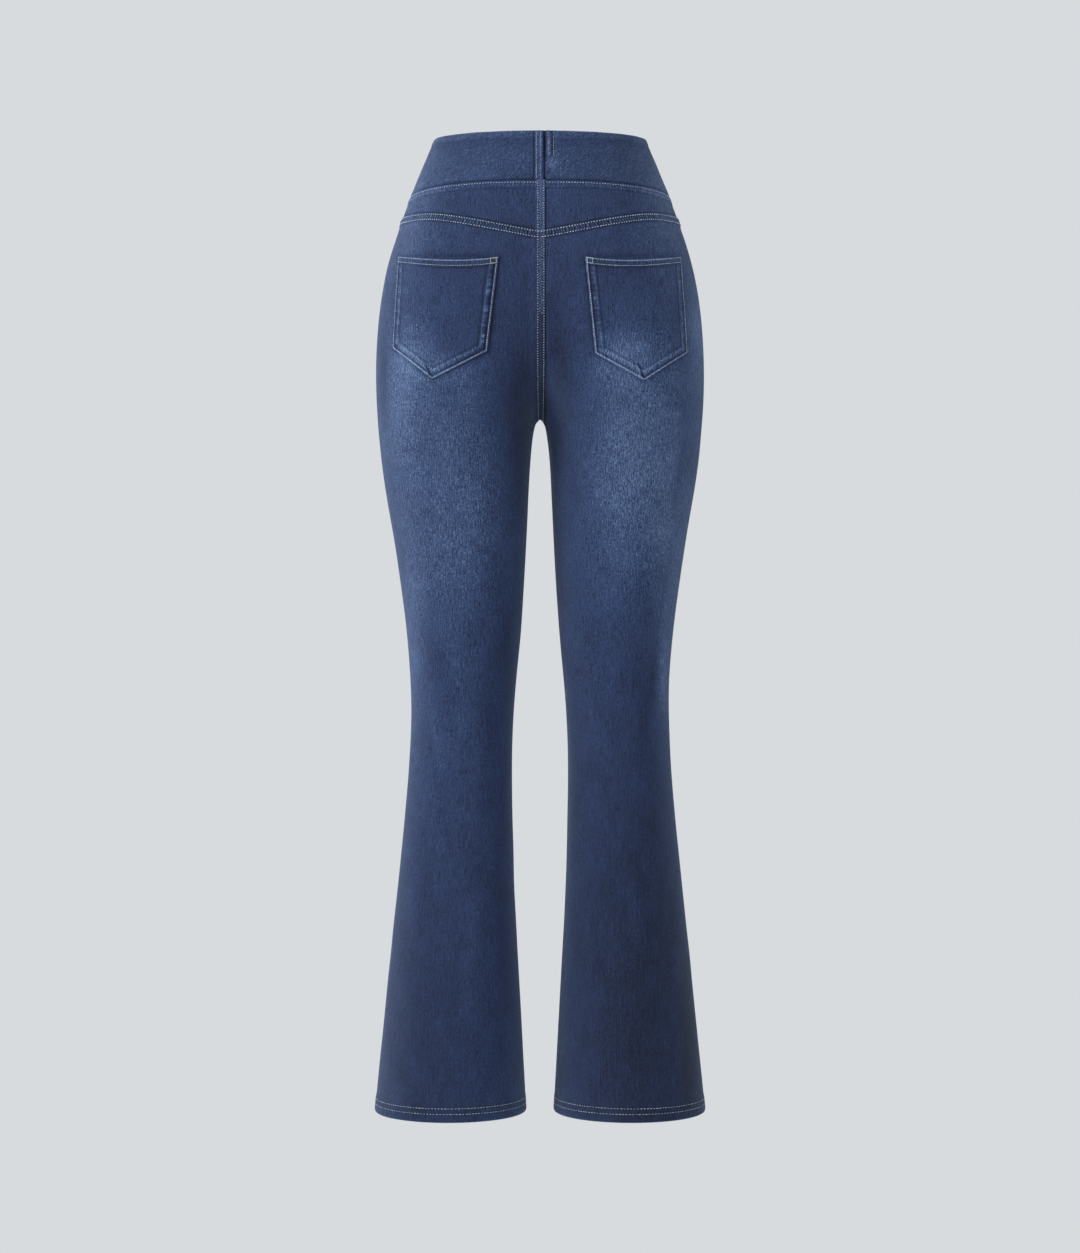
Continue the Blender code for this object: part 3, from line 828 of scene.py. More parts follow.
def denim(name, twill=0.0):
    """Washed twill: indigo warp, pale weft that shows where it is worn, and slubs along the warp."""
    n = Nodes(name, 0.88, 0.2)
    spot = n.add("ShaderNodeUVMap", uv_map="cloth").outputs[0]
    fade = n.value_at("fade")
    slub = n.grain(spot, 0.0013, 0.0100)
    fleck = n.grain(spot, 0.0011, 0.0030)
    speck = n.grain(spot, 0.0008, 0.0013)
    streak = n.grain(spot, 0.0017, 0.0400)
    cloud = n.grain(spot, 0.0260, 0.0400, detail=3.0)
    slant = n.grain(spot, 0.0008, 0.0045, turn=-45)
    rib = n.grain(spot, 0.0017, 0.0140, turn=-45)
    parts = n.add("ShaderNodeSeparateXYZ")
    n.link(spot, parts.inputs[0])
    diagonal = n.math("MULTIPLY", n.math("ADD", parts.outputs[0], parts.outputs[1]), 2 * math.pi / TWILL_PITCH)
    line = n.math("SINE", diagonal)
    upright = 1 - 0.6 * twill
    texture = n.total(
        (slub, 0.10 * upright),
        (fleck, 0.12 * upright),
        (speck, 0.12 + 0.08 * twill),
        (cloud, 0.02),
        (slant, 0.11 * twill),
        (rib, 0.07 * twill),
    )
    worn = n.math("MINIMUM", n.math("MAXIMUM", n.math("MULTIPLY_ADD", fade, 4.4, -0.60), 0.48), 1.65)
    shade = n.math("ADD", fade, n.math("MULTIPLY", texture, worn))
    shade = n.math("ADD", shade, n.total((cloud, 0.014), (streak, 0.036), (line, 0.010)))
    colour = n.ramp(shade, INDIGO)
    tinted = n.add("ShaderNodeMix", data_type="RGBA", blend_type="MULTIPLY")
    factor, first, second = (tinted.inputs[i] for i in (0, 6, 7))
    n.link(n.value_at("tint"), factor)
    n.link(colour, first)
    second.default_value = (1.30, 0.96, 1.08, 1)
    n.link(tinted.outputs[2], n.shader.inputs["Base Color"])
    n.shader.inputs["Sheen Weight"].default_value = 0.24
    n.shader.inputs["Sheen Roughness"].default_value = 0.45
    n.shader.inputs["Sheen Tint"].default_value = (0.55, 0.72, 1.0, 1)
    n.bump(n.total((fleck, 0.5), (slub, 0.4), (speck, 0.4), (line, 0.25)), 0.00016)
    return n.material


def wrong_side(name):
    """The inside of the denim, where the pale weft covers most of the indigo."""
    n = Nodes(name, 0.92, 0.2)
    spot = n.add("ShaderNodeUVMap", uv_map="cloth").outputs[0]
    slub = n.grain(spot, 0.0160, 0.0011)
    fleck = n.grain(spot, 0.0016, 0.0009)
    shade = n.math("ADD", n.total((slub, 0.10), (fleck, 0.13)), 0.5)
    stops = ((0.0, (0.085, 0.115, 0.190)), (0.5, (0.205, 0.240, 0.310)), (1.0, (0.400, 0.430, 0.480)))
    n.link(n.ramp(shade, stops), n.shader.inputs["Base Color"])
    n.bump(fleck, 0.00012)
    return n.material


def thread(name, dull, bright):
    """Spun sewing thread, a little different from stitch to stitch."""
    n = Nodes(name, 0.62, 0.35)
    spot = n.add("ShaderNodeTexCoord").outputs["Object"]
    ply = n.add("ShaderNodeTexNoise")
    n.link(spot, ply.inputs["Vector"])
    ply.inputs["Scale"].default_value = 2600
    shade = n.total((ply.outputs[0], 0.5), (n.value_at("fade"), 0.7))
    n.link(n.ramp(shade, ((0.15, dull), (0.95, bright))), n.shader.inputs["Base Color"])
    n.bump(ply.outputs[0], 0.0001)
    return n.material


DENIM_FACE = denim("denim_face")
BAND_FACE = denim("waistband_face", twill=1.0)
POCKET_FACE = denim("pocket_face")
WRONG_SIDE = wrong_side("denim_wrong_side")
DENIM_WALL = [DENIM_FACE, WRONG_SIDE]
CREAM = thread("thread_cream", (0.44, 0.52, 0.64), (0.88, 0.94, 0.97))
OLIVE = thread("thread_olive", (0.24, 0.29, 0.31), (0.60, 0.67, 0.66))
PALE_BLUE = thread("thread_pale_blue", (0.36, 0.46, 0.62), (0.76, 0.88, 1.0))
COVER = thread("thread_cover", (0.16, 0.20, 0.28), (0.50, 0.56, 0.66))
TACK = thread("thread_tack", (0.34, 0.35, 0.16), (0.80, 0.78, 0.42))

# ---------------------------------------------------------------- pieces

SIDES = (("left", 1), ("right", -1))


def keep(piece, slot, *nodes):
    """Attaches the piece to the root body and hides the CAD nodes that it stands for."""
    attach(piece, "root")
    if nodes:
        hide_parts(*nodes)
    return piece


def declare(piece, points, held, turned=0.0, **more):
    """Measures the piece's grid across and down, and keeps nothing; turned is not used."""
    across, down = lengths(points, 1).max(axis=1), lengths(points, 0).max()


def seam_path(line, half="back"):
    """A path on the form along one of its lines, from the side inwards."""
    across = np.linspace(0, 1, 240)
    return spaced(place(half, across, line(half, across)))


def centre_path(first, last):
    """The centre-back line between two shares of the way down."""
    down = np.linspace(first, last, 300)
    return spaced(place("back", np.ones_like(down), down))


def side_seam(distance):
    """The height and wear beside a pressed-open side seam."""
    height = -0.0007 * ridge(distance, 0, 0.0012) + 0.0003 * plateau(distance, 0.0090, 0.0016)
    return height, -0.16 * ridge(distance, 0, 0.0011) + 0.03 * ridge(distance, 0.0084, 0.0018)


def band_height(cloth, fold):
    """The band's face: its turned top edge, and how it rounds in at the top and at the seam below."""
    height = BAND_PROUD + 0.0004 * fold - 0.0007 * rounding(cloth.below, 0.0007)
    return height - 0.0007 * rounding(cloth.above, 0.0008)


def make_waistband():
    back = Cloth("back", 150, (waist_line, band_line, 44))
    front = Cloth("front", 110, (waist_line, band_line, 36))
    for side_name, side in SIDES:
        seed = 10 + side
        fold_depth = 0.0084 + 0.0006 * wander(back.inner, 0.03, seed)
        fold = plateau(back.below, fold_depth, 0.0011)
        height = band_height(back, fold)
        height += 0.00025 * wander(back.inner + 0.4 * back.below, 0.05, seed + 3)
        wear_and_painted_shade = 0.06 + 0.03 * fold + 0.10 * rounding(back.below, 0.0014)
        # painted shadow under the step at the lower side of the turned top edge
        wear_and_painted_shade -= 0.06 * ridge(back.below, fold_depth + 0.0014, 0.0015)
        # painted shade along the band's lower edge, where it overhangs the seam
        wear_and_painted_shade -= 0.24 * rounding(back.above, 0.0013)
        wear_and_painted_shade -= 0.05 * ridge(back.below, 0.0145, 0.0045)
        seam_height, seam_wear = side_seam(back.outer)
        height, wear_and_painted_shade = height + seam_height, wear_and_painted_shade + seam_wear
        if side < 0:
            groove = ridge(back.inner, GROOVE, 0.0007 + 0.0008 * plateau(back.below, 0.030, 0.003))
            height -= 0.0010 * groove
            # painted shade in the gap between the two folded strips
            wear_and_painted_shade -= 0.36 * groove
            # painted shadow beside the short strip's edge, with slightly darker cloth there
            wear_and_painted_shade -= 0.22 * ridge(back.inner, 0.0136, 0.0010) * plateau(back.below, 0.029, 0.001)
            wear_and_painted_shade += 0.13 * ridge(back.inner, 0.0125, 0.0070) * ridge(back.below, 0.0375, 0.0080)
        else:
            # painted shadow beside the long strip's edge, with slightly darker cloth there
            wear_and_painted_shade -= 0.22 * ridge(back.inner, 0.0066, 0.0009)
        name = f"waistband_back_{side_name}"
        piece = back.build(f"{name}_cloth", side, height, BAND_WALL, [BAND_FACE, BAND_FACE], wear_and_painted_shade)
        keep(piece, "waistband_denim", name)
        declare(piece, back.points, "hung")
    fold = plateau(front.below, 0.0084 + 0.0006 * wander(front.inner, 0.03, 5), 0.0011)
    height = band_height(front, fold)
    seam_height, seam_wear = side_seam(front.outer)
    height += seam_height
    layers = []
    for lift in (height, height - BAND_WALL):
        left = front.points + front.out * lift[..., None]
        left[:, -1, 0] = 0
        layers.append(np.concatenate([left, left[:, -2::-1] * (-1, 1, 1)], axis=1))
    uv = np.concatenate([front.uv, front.uv[:, -2::-1] * (-1, 1)], axis=1)
    wear_and_painted_shade = 0.04 * fold + 0.05 * rounding(front.below, 0.0014)
    # painted shade along the band's lower edge, where it overhangs the seam
    wear_and_painted_shade = wear_and_painted_shade - 0.16 * rounding(front.above, 0.0016) + seam_wear
    fade = wash_and_painted_light(layers[0]) + np.concatenate([wear_and_painted_shade, wear_and_painted_shade[:, -2::-1]], axis=1)
    piece = wall("waistband_front_cloth", *layers, uv, fade, [BAND_FACE, BAND_FACE])
    keep(piece, "waistband_denim", "waistband_front")
    declare(piece, layers[0], "hung")


def make_centre_folds():
    """The two folded strips that close the waistband at centre back: one full height, one short."""
    foot = float(band_line("back", np.array([1.0]))[0])
    for name, first, last, inner, outer in (
        ("centre_fold_long", 0.0, foot, -0.0034, 0.0058),
        ("centre_fold_short", 0.0, foot * 0.52, -0.0128, -0.0064),
    ):
        widths = np.linspace(inner, outer, 17)
        strip = Strip(centre_path(first, last), (1, 0, 0), widths, upright=True)
        from_edge = np.minimum(strip.beside - inner, outer - strip.beside)
        ends = np.minimum(strip.along, strip.left)
        height = BAND_PROUD + TAB_HEIGHT - 0.0006 * rounding(from_edge, 0.0006)
        height -= 0.0004 * rounding(ends, 0.0006)
        middle = inner + 0.28 * (outer - inner) if outer > 0 else (inner + outer) / 2
        height += 0.0003 * ridge(strip.beside, middle, 0.0009)
        # painted shade along each strip's rounded edges, with slightly darker cloth there
        wear_and_painted_shade = 0.08 + 0.20 * ridge(strip.beside, middle, 0.0009) - 0.16 * rounding(from_edge, 0.0006)
        wear_and_painted_shade += 0.06 * rounding(strip.along, 0.002)
        if outer > 0:
            height -= 0.0003 * ridge(strip.beside, 0.0040, 0.0006)
        tint = 0.30 * ridge(strip.beside, middle, 0.004)
        piece = strip.build(name, 1, height, BAND_PROUD, [BAND_FACE, WRONG_SIDE], wear_and_painted_shade, tint, flip=True)
        keep(piece, "waistband_denim")
    long_row = centre_path(0.001, foot - 0.001) + np.array((0.0041, 0, 0))
    short_row = centre_path(0.001, foot * 0.5) - np.array((0.0143, 0, 0))
    rows = [
        (to_form(long_row), BAND_PROUD + TAB_HEIGHT, *SEWN["fold_long"], 30),
        (to_form(short_row), BAND_PROUD, *SEWN["fold_short"], 31),
    ]
    stitches("stitches_centre_folds", rows, CREAM)


def to_form(path):
    """A path beside the centre back, moved fore and aft onto the form."""
    return onto(path, np.broadcast_to(np.array((0.0, 1.0, 0.0)), path.shape))


def make_yoke():
    cloth = Cloth("back", 100, (band_line, yoke_line, 34))
    for side_name, side in SIDES:
        height = -0.0006 * ridge(cloth.below, 0, 0.0010) - 0.0006 * ridge(cloth.above, 0, 0.0014)
        # painted shadow along the yoke's lower edge, under the felled strip's folded edge
        wear_and_painted_shade = -0.22 * ridge(cloth.above, 0, 0.0015)
        seam_height, seam_wear = side_seam(cloth.outer)
        height, wear_and_painted_shade = height + seam_height, wear_and_painted_shade + seam_wear
        name = f"yoke_{side_name}"
        piece = cloth.build(f"{name}_cloth", side, height, DENIM, DENIM_WALL, wear_and_painted_shade)
        keep(piece, "denim", name)
        declare(piece, cloth.points, "hung")


def make_band_seam():
    """The pressed allowance below the waistband seam, with its row of topstitches."""
    guide = seam_path(band_line)
    strip = Strip(guide, (0, 0, -1), np.linspace(0.0004, 0.0100, 14))
    for side_name, side in SIDES:
        seed = 40 + side
        deep = 0.0082 + 0.0007 * wander(strip.along, 0.02, seed)
        body = plateau(strip.beside, deep, 0.0010)
        ripple = puckers(strip.along, 0.0036, seed)
        height = 0.00010 + 0.00055 * body - 0.0003 * ridge(strip.beside, 0.0030, 0.0007)
        height += 0.00016 * ripple * ridge(strip.beside, 0.0050, 0.0024) * body
        paler_outside = 0.35 + 0.65 * plateau(strip.along, 0.110, 0.020)
        wear_and_painted_shade = 0.05 * body + 0.16 * ridge(strip.beside, 0.0016, 0.0007) * paler_outside
        wear_and_painted_shade += 0.16 * ridge(strip.beside, deep - 0.0008, 0.0013) * plateau(strip.along, 0.090, 0.030)
        wear_and_painted_shade -= 0.08 * ridge(strip.beside, deep + 0.0012, 0.001)
        wear_and_painted_shade += 0.14 * ripple * ridge(strip.beside, 0.0050, 0.0022)
        # painted shadow along the seam, under the waistband's edge
        wear_and_painted_shade -= 0.32 * ridge(strip.beside, 0, 0.0010)
        path = strip_path(strip, BAND_ROW)
        # painted shade in the cloth between the stitches
        wear_and_painted_shade -= 0.12 * stitch_gaps(path, SEWN["band"]) * ridge(strip.beside, BAND_ROW, 0.0008)
        piece = strip.build(f"band_seam_{side_name}", side, height, STRIP_FOOT, DENIM_WALL, wear_and_painted_shade, flip=True)
        keep(piece, "denim")
        rows = [(path, 0.0005, *SEWN["band"], seed)]
        stitches(f"stitches_band_seam_{side_name}", rows, PALE_BLUE, side)


def make_yoke_seam():
    """The felled strip below the yoke seam: a folded edge, two rows of stitches and puckers between them."""
    guide = seam_path(yoke_line)
    strip = Strip(guide, (0, 0, -1), np.linspace(0.0002, 0.0118, 18))
    lowered = YOKE_ROWS_LOWER * plateau(strip.along[0], 0.078, 0.018)
    for side_name, side in SIDES:
        seed = 50 + side
        body = plateau(strip.beside, 0.0090 + lowered, 0.0007)
        ripple = puckers(strip.along, 0.0032, seed)
        between = ridge(strip.beside, 0.0048, 0.0024)
        height = 0.00015 + 0.00085 * body + 0.00032 * ripple * between
        height -= 0.0004 * ridge(strip.beside, 0, 0.0007)
        wear_and_painted_shade = 0.46 * ripple * between - 0.04 * between
        rows = []
        for i, row in enumerate(YOKE_ROWS):
            row += lowered
            path = strip_path(strip, row)
            height -= 0.00030 * ridge(strip.beside, row, 0.0007)
            # painted shade along each row, deepest between the stitches
            wear_and_painted_shade -= (0.05 + 0.12 * stitch_gaps(path, SEWN["yoke"])) * ridge(strip.beside, row, 0.0009)
            over_centre = path[:, 0] < (FELL_EDGES[1] if side > 0 else -FELL_EDGES[0])
            rows.append((path, np.where(over_centre, 0.0014, 0.0009), *SEWN["yoke"], seed + 7 * i))
        wear_and_painted_shade -= 0.10 * ridge(strip.beside, 0.0098 + lowered, 0.0009)
        piece = strip.build(f"yoke_seam_{side_name}", side, height, STRIP_FOOT, DENIM_WALL, wear_and_painted_shade, flip=True)
        keep(piece, "denim")
        stitches(f"stitches_yoke_{side_name}", rows, CREAM, side)


def make_centre_seam():
    """The felled strip down the centre back, from the waistband to the crotch."""
    top = float(band_line("back", np.array([1.0]))[0])
    guide = centre_path(top, CROTCH_SHARE - 0.004)
    strip = Strip(guide, (1, 0, 0), np.linspace(-0.0066, 0.0052, 20), upright=True)
    from_fold, from_end = strip.beside - FELL_EDGES[0], FELL_EDGES[1] - strip.beside
    body = plateau(-from_fold, 0.0001, 0.00025) * plateau(-from_end, 0.0003, 0.0006)
    seed = 60
    height = -0.0001 + 0.0011 * body
    worn = 0.45 * plateau(strip.along, 0.150, 0.030) + 0.55 * plateau(strip.along, 0.036, 0.014)
    # painted shadow beside the strip's folded edge
    wear_and_painted_shade = (0.13 * worn - 0.03) * body - 0.30 * ridge(strip.beside, FELL_EDGES[0] - 0.0003, 0.0008)
    ripple = puckers(strip.along, 0.0029, seed)
    between = ridge(strip.beside, -0.0008, 0.0022)
    height += 0.00018 * ripple * between
    wear_and_painted_shade += 0.16 * ripple * between
    rows = []
    for i, row in enumerate(FELL_ROWS):
        path = strip_path(strip, row)
        # painted shade in the cloth between the stitches
        wear_and_painted_shade -= 0.12 * stitch_gaps(path, SEWN["centre"]) * ridge(strip.beside, row, 0.0008)
        rows.append((path, 0.0010, *SEWN["centre"], seed + i))
    piece = strip.build("centre_back_seam", 1, height, STRIP_FOOT - 0.0001, DENIM_WALL, wear_and_painted_shade, flip=True)
    keep(piece, "denim")
    stitches("stitches_centre_back", rows, PALE_BLUE)
    cover = zigzag(strip, FELL_ROWS[0] + 0.0006, FELL_ROWS[1] - 0.0006, COVER_SWING)
    cover = spaced(cover[: np.searchsorted(strip.along[0], COVER_LENGTH)])
    stitches("cover_stitches_centre_back", [(cover, 0.0009, *SEWN["cover"], seed + 5)], COVER)


def make_legs():
    hem = (hem_top, hem_line, 20)
    back = Cloth("back", 140, (yoke_line, crotch_line, 130), (crotch_line, hem_top, 160), hem)
    front = Cloth("front", 84, (band_line, crotch_line, 84), (crotch_line, hem_top, 156), hem)
    for half, cloth in (("back", back), ("front", front)):
        cloth.straighten_grain()
        for side_name, side in SIDES:
            seed = 70 + side + 2 * (half == "back")
            garment = cloth.points * (side, 1, 1)
            height = creases(garment)
            wear_and_painted_shade = CREASE_WEAR * height
            for away in (cloth.outer, cloth.inner):
                height = height - 0.0008 * ridge(away, 0, 0.0016) + 0.0003 * plateau(away, 0.0095, 0.0016)
                wear_and_painted_shade = wear_and_painted_shade - 0.08 * ridge(away, 0, 0.0012) + 0.02 * ridge(away, 0.0088, 0.0018)
            if half == "back":
                # painted shadow along the pockets' edges, strongest beside their inner sides and feet
                wear_and_painted_shade -= 0.26 * painted_pocket_shadow(cloth.points, side_name)
            turned = plateau(cloth.above, HEM_DEPTH, 0.0008)
            ripple = puckers(cloth.inner, 0.0090, seed)
            height = height + HEM_PROUD * turned + 0.00025 * ripple * ridge(cloth.above, 0.0120, 0.0050)
            height -= 0.0006 * ridge(cloth.above, 0, 0.0010)
            for row in HEM_ROWS:
                height -= 0.0002 * ridge(cloth.above, row, 0.0010)
                wear_and_painted_shade -= 0.03 * ridge(cloth.above, row, 0.0010)
            wear_and_painted_shade += 0.05 * rounding(cloth.above, 0.0015)
            wear_and_painted_shade += 0.03 * ripple * ridge(cloth.above, 0.0120, 0.0060)
            uneven = 0.0003 * wander(cloth.inner + 0.3 * cloth.below, 0.09, seed)
            height += uneven * wander(cloth.below, 0.16, seed + 9)
            thickness = DENIM * (1 + 0.9 * turned)
            name = f"{half}_{side_name}"
            piece = cloth.build(f"{name}_cloth", side, height, thickness, DENIM_WALL, wear_and_painted_shade)
            keep(piece, "denim", name)
            declare(piece, cloth.points, "hung", HEM_TURNING)


def painted_pocket_shadow(points, side_name):
    """A painted shadow, with a little cloth that kept its colour: 1 on the cloth right beside a pocket's edge, and
    0 away from it.
    """
    corners = np.array(POCKET_CORNERS[side_name])
    middle = corners.mean(axis=0)
    spot = np.stack([points[..., 0], -points[..., 2]], axis=-1)
    farthest, share = np.full(spot.shape[:2], -1.0), np.zeros(spot.shape[:2])
    edges = ("opening", "outer", "foot", "foot", "inner")
    for edge, start, end in zip(edges, corners, np.roll(corners, -1, axis=0)):
        away = np.array((end[1] - start[1], start[0] - end[0])) / np.linalg.norm(end - start)
        away *= np.sign(away @ (start - middle))
        distance = (spot - start) @ away
        share = np.where(distance > farthest, POCKET_PAINTED_SHADOW[edge], share)
        farthest = np.maximum(farthest, distance)
    return share * rounding(np.abs(farthest), 0.0022)


def hem_top(half, across):
    return np.full_like(across, 1 - 1.15 * HEM_DEPTH / OUTSEAM)


def above_hem(distance):
    """A line down the form at a distance above the lower edge."""

    def line(half, across):
        return np.full_like(across, 1 - distance / (OUTSEAM - CROTCH) * (1 - CROTCH_SHARE))

    return line


def make_hem_stitches():
    for side_name, side in SIDES:
        rows = []
        for i, distance in enumerate(HEM_ROWS):
            for half in ("back", "front"):
                path = seam_path(above_hem(distance), half)
                rows.append((path, HEM_PROUD, *SEWN["hem"], 80 + 4 * i + side))
        stitches(f"stitches_hem_{side_name}", rows, OLIVE, side)


def distance_to(points, path):
    """How far points lie from a path, and how far along it the nearest place is."""
    start, step = path[:-1], np.diff(path, axis=0)
    length = np.linalg.norm(step, axis=-1)
    offset = points.reshape(-1, 1, 3) - start
    share = np.clip((offset * step).sum(axis=-1) / length**2, 0, 1)
    distance = np.linalg.norm(offset - step * share[..., None], axis=-1)
    nearest = distance.argmin(axis=-1)
    every = np.arange(len(nearest))
    along = (np.cumsum(length) - length)[nearest] + share[every, nearest] * length[nearest]
    return distance[every, nearest].reshape(points.shape[:-1]), along.reshape(points.shape[:-1])


def inset(points, away, from_any_edge, distance, reverse=False):
    """On each row of a grid, the point at a distance from one edge, unless another edge is nearer."""
    found = []
    way = slice(None, None, -1 if reverse else 1)
    for line, from_edge, from_any in zip(points, away, from_any_edge):
        columns = np.arange(len(from_edge))
        spot = np.interp(distance, from_edge[way], columns[way])
        if np.interp(spot, columns, from_any) > 0.97 * distance:
            found.append(points_at(spot, columns, line))
    return np.array(found)


class Pocket:
    """The grid of a five-sided pocket on the form, with the distances from its edges."""

    ROWS, COLUMNS = 96, 150

    def __init__(self, corners):
        opening_inner, opening_outer, foot_outer, foot, foot_inner = map(np.array, corners)
        inner_run, outer_run = np.linalg.norm(foot - foot_inner), np.linalg.norm(foot_outer - foot)
        split = round(self.COLUMNS * inner_run / (inner_run + outer_run))
        first = np.linspace(0, 1, split + 1)[:, None]
        second = np.linspace(0, 1, self.COLUMNS - split + 1)[1:, None]
        bottom = [foot_inner * (1 - first) + foot * first, foot * (1 - second) + foot_outer * second]
        across = np.linspace(0, 1, self.COLUMNS + 1)[:, None]
        top = opening_inner * (1 - across) + opening_outer * across
        top += np.array((0, 4 * POCKET_SAG)) * across * (1 - across)
        down = np.linspace(0, 1, self.ROWS + 1)[:, None, None]
        spot = top[None] * (1 - down) + np.concatenate(bottom)[None] * down
        self.points = seen_from_behind(spot[..., 0], spot[..., 1])
        self.out = outward(self.points)
        run = lengths(self.points, 1)
        self.uv = np.stack([run[:, :1] - run + spot[:, :1, 0], spot[..., 1]], axis=-1)
        self.below_opening = lengths(self.points, 0)
        lower = self.points[-1]
        self.from_inner, _ = distance_to(self.points, self.points[:, 0])
        self.from_outer, _ = distance_to(self.points, self.points[:, -1])
        self.from_foot_inner, self.along_inner = distance_to(self.points, lower[: split + 1])
        self.from_foot_outer, self.along_outer = distance_to(self.points, lower[split:][::-1])
        self.from_foot = np.minimum(self.from_foot_inner, self.from_foot_outer)
        self.from_edge = np.minimum(np.minimum(self.from_inner, self.from_outer), self.from_foot)
        self.beside_point = self.uv[..., 0] - self.uv[-1, split, 0]
        self.above_point = self.uv[-1, split, 1] - self.uv[..., 1]

    def ring(self, distance):
        """A path inside the sewn sides: down the inner one, round the foot and up the outer one."""
        turned = np.swapaxes(self.points, 0, 1)
        inner = inset(self.points, self.from_inner, self.from_edge, distance)
        foot = inset(turned, self.from_foot.T, self.from_edge.T, distance, reverse=True)
        outer = inset(self.points, self.from_outer, self.from_edge, distance, reverse=True)
        return spaced(np.concatenate([inner, foot, outer[::-1]]))

    def row(self, distance):
        """The path at a distance below the opening."""
        rows = np.arange(self.ROWS + 1)
        places = [np.interp(distance, self.below_opening[:, j], rows) for j in range(self.COLUMNS + 1)]
        path = [[np.interp(r, rows, self.points[:, j, k]) for k in range(3)] for j, r in enumerate(places)]
        return spaced(np.array(path)[2:-2])


def seen_from_behind(x, drop):
    """The points of the form at distances from the middle, seen from behind, and drops."""
    sizes = section(drop)
    reach = halve(lambda r: outside(sizes, x - sizes["axis"], r), 0 * x, 0 * x + WIDEST)
    return np.stack([x, sizes["middle"] + reach, -drop], axis=-1)


def make_pockets():
    for side_name, side in SIDES:
        pocket = Pocket(POCKET_CORNERS[side_name])
        seed = 90 + side
        edge, opening = pocket.from_edge, pocket.below_opening
        nearest = np.minimum(edge, opening)
        height = POCKET_HEIGHT - 0.0010 * rounding(nearest, 0.0005)
        allowance_width = 0.0086 + 0.0007 * wander(pocket.uv[..., 1] + pocket.uv[..., 0], 0.02, seed)
        allowance = plateau(edge, allowance_width, 0.0009)
        hem = plateau(opening, 0.0078, 0.0006)
        height += 0.00055 * np.maximum(allowance, hem)
        height -= 0.00060 * ridge(edge, 0.0031, 0.0009) * (1 - hem)
        height -= 0.00030 * sum(ridge(opening, row, 0.0006) for row in OPENING_ROWS)
        ticks = 0
        for away, along, strength in (
            (pocket.from_foot_inner, pocket.along_inner, 1.0 if side > 0 else 0.7),
            (pocket.from_foot_outer, pocket.along_outer, 0.6),
        ):
            band = ridge(away, 0.0066, 0.0026) * (pocket.from_foot == away) * plateau(-along, -0.006, 0.003)
            ticks += strength * puckers(along, 0.0028, seed + 3) * band
        gathers = wander(pocket.uv[..., 1], 0.009, seed + 5) * ridge(pocket.from_inner, 0.0058, 0.0022)
        gathers *= (1.0 if side > 0 else 0.6)
        gathers += 0.6 * wander(pocket.uv[..., 1], 0.011, seed + 6) * ridge(pocket.from_outer, 0.0058, 0.0022)
        gathers = np.maximum(gathers, -0.35) * plateau(-opening, -0.012, 0.004)
        height = height + 0.00040 * ticks + 0.00040 * gathers
        sewn = plateau(-opening, -0.0070, 0.0010)
        wear_and_painted_shade = 0.30 * rounding(nearest, 0.0009) - 0.24 * ridge(edge, 0.0031, 0.0009) * sewn
        wear_and_painted_shade = wear_and_painted_shade + 0.16 * ridge(edge, 0.0079, 0.0013) * sewn + 0.40 * ticks + 0.26 * gathers
        wear_and_painted_shade -= 0.12 * ridge(edge, 0.0105, 0.0012) * sewn
        # painted shade below the opening's turned hem
        wear_and_painted_shade -= 0.12 * ridge(opening, 0.0090, 0.0012)
        wear_and_painted_shade += 0.12 * puckers(pocket.uv[..., 0], 0.0040, seed + 8) * ridge(opening, 0.0040, 0.0018)
        beside = pocket.beside_point * side
        slant = (beside - NOTCH_SLOPE * pocket.above_point) / math.hypot(1, NOTCH_SLOPE)
        reach = plateau(pocket.above_point, NOTCH_HEIGHT, 0.002)
        height += reach * (0.0004 * ridge(slant, 0.0018, 0.0010) - 0.0008 * ridge(slant, 0, 0.0009))
        wear_and_painted_shade = wear_and_painted_shade + reach * (0.26 * ridge(slant, 0.0021, 0.0010) - 0.42 * ridge(slant, 0, 0.0011)) - 0.03
        name = f"back_pocket_{side_name}"
        face = pocket.points + pocket.out * height[..., None]
        back = pocket.points + pocket.out * SEAM_GAP
        fade = wash_and_painted_light(pocket.points * (side, 1, 1)) + wear_and_painted_shade
        piece = wall(f"{name}_cloth", face, back, pocket.uv, fade, [POCKET_FACE, WRONG_SIDE], side, False)
        keep(piece, "pocket_denim", name)
        declare(piece, pocket.points, "laid", POCKET_TURNING, rests_on=[f"back_{side_name}_cloth"])
        lift = POCKET_HEIGHT + 0.0003
        ring = (pocket.ring(EDGE_ROW), lift, *SEWN["pocket"], seed)
        stitches(f"stitches_pocket_{side_name}", [ring], PALE_BLUE, side)
        opening_rows = zip(("upper", "lower"), OPENING_ROWS, (PALE_BLUE, OLIVE))
        for i, (name, deep, thread_of_row) in enumerate(opening_rows):
            row = (pocket.row(deep), lift + 0.0002, *SEWN[f"opening_{name}"], seed + 10 + i)
            stitches(f"stitches_opening_{name}_{side_name}", [row], thread_of_row, side)


def make_bar_tacks():
    """Dense little bars of thread at the inner ends of the pocket openings."""
    for side_name, side in SIDES:
        inner, outer = POCKET_CORNERS[side_name][:2]
        left, top = inner[0] + 0.0022, inner[1] + 0.0010
        right = left + 0.0058
        corners = np.array([(left, top), (right, top + 0.0006), (right, top + 0.0062), (left, top + 0.0058)])
        rows = []
        for i, (start, end) in enumerate(zip(corners, np.roll(corners, -1, axis=0))):
            share = np.linspace(0, 1, 12)[:, None]
            flat = start * (1 - share) + end * share
            path = seen_from_behind(flat[:, 0], flat[:, 1])
            rows.append((path, POCKET_HEIGHT + 0.0006, *SEWN["bar_tack"], 120 + i))
        stitches(f"bar_tack_{side_name}", rows, TACK if side > 0 else PALE_BLUE, side)


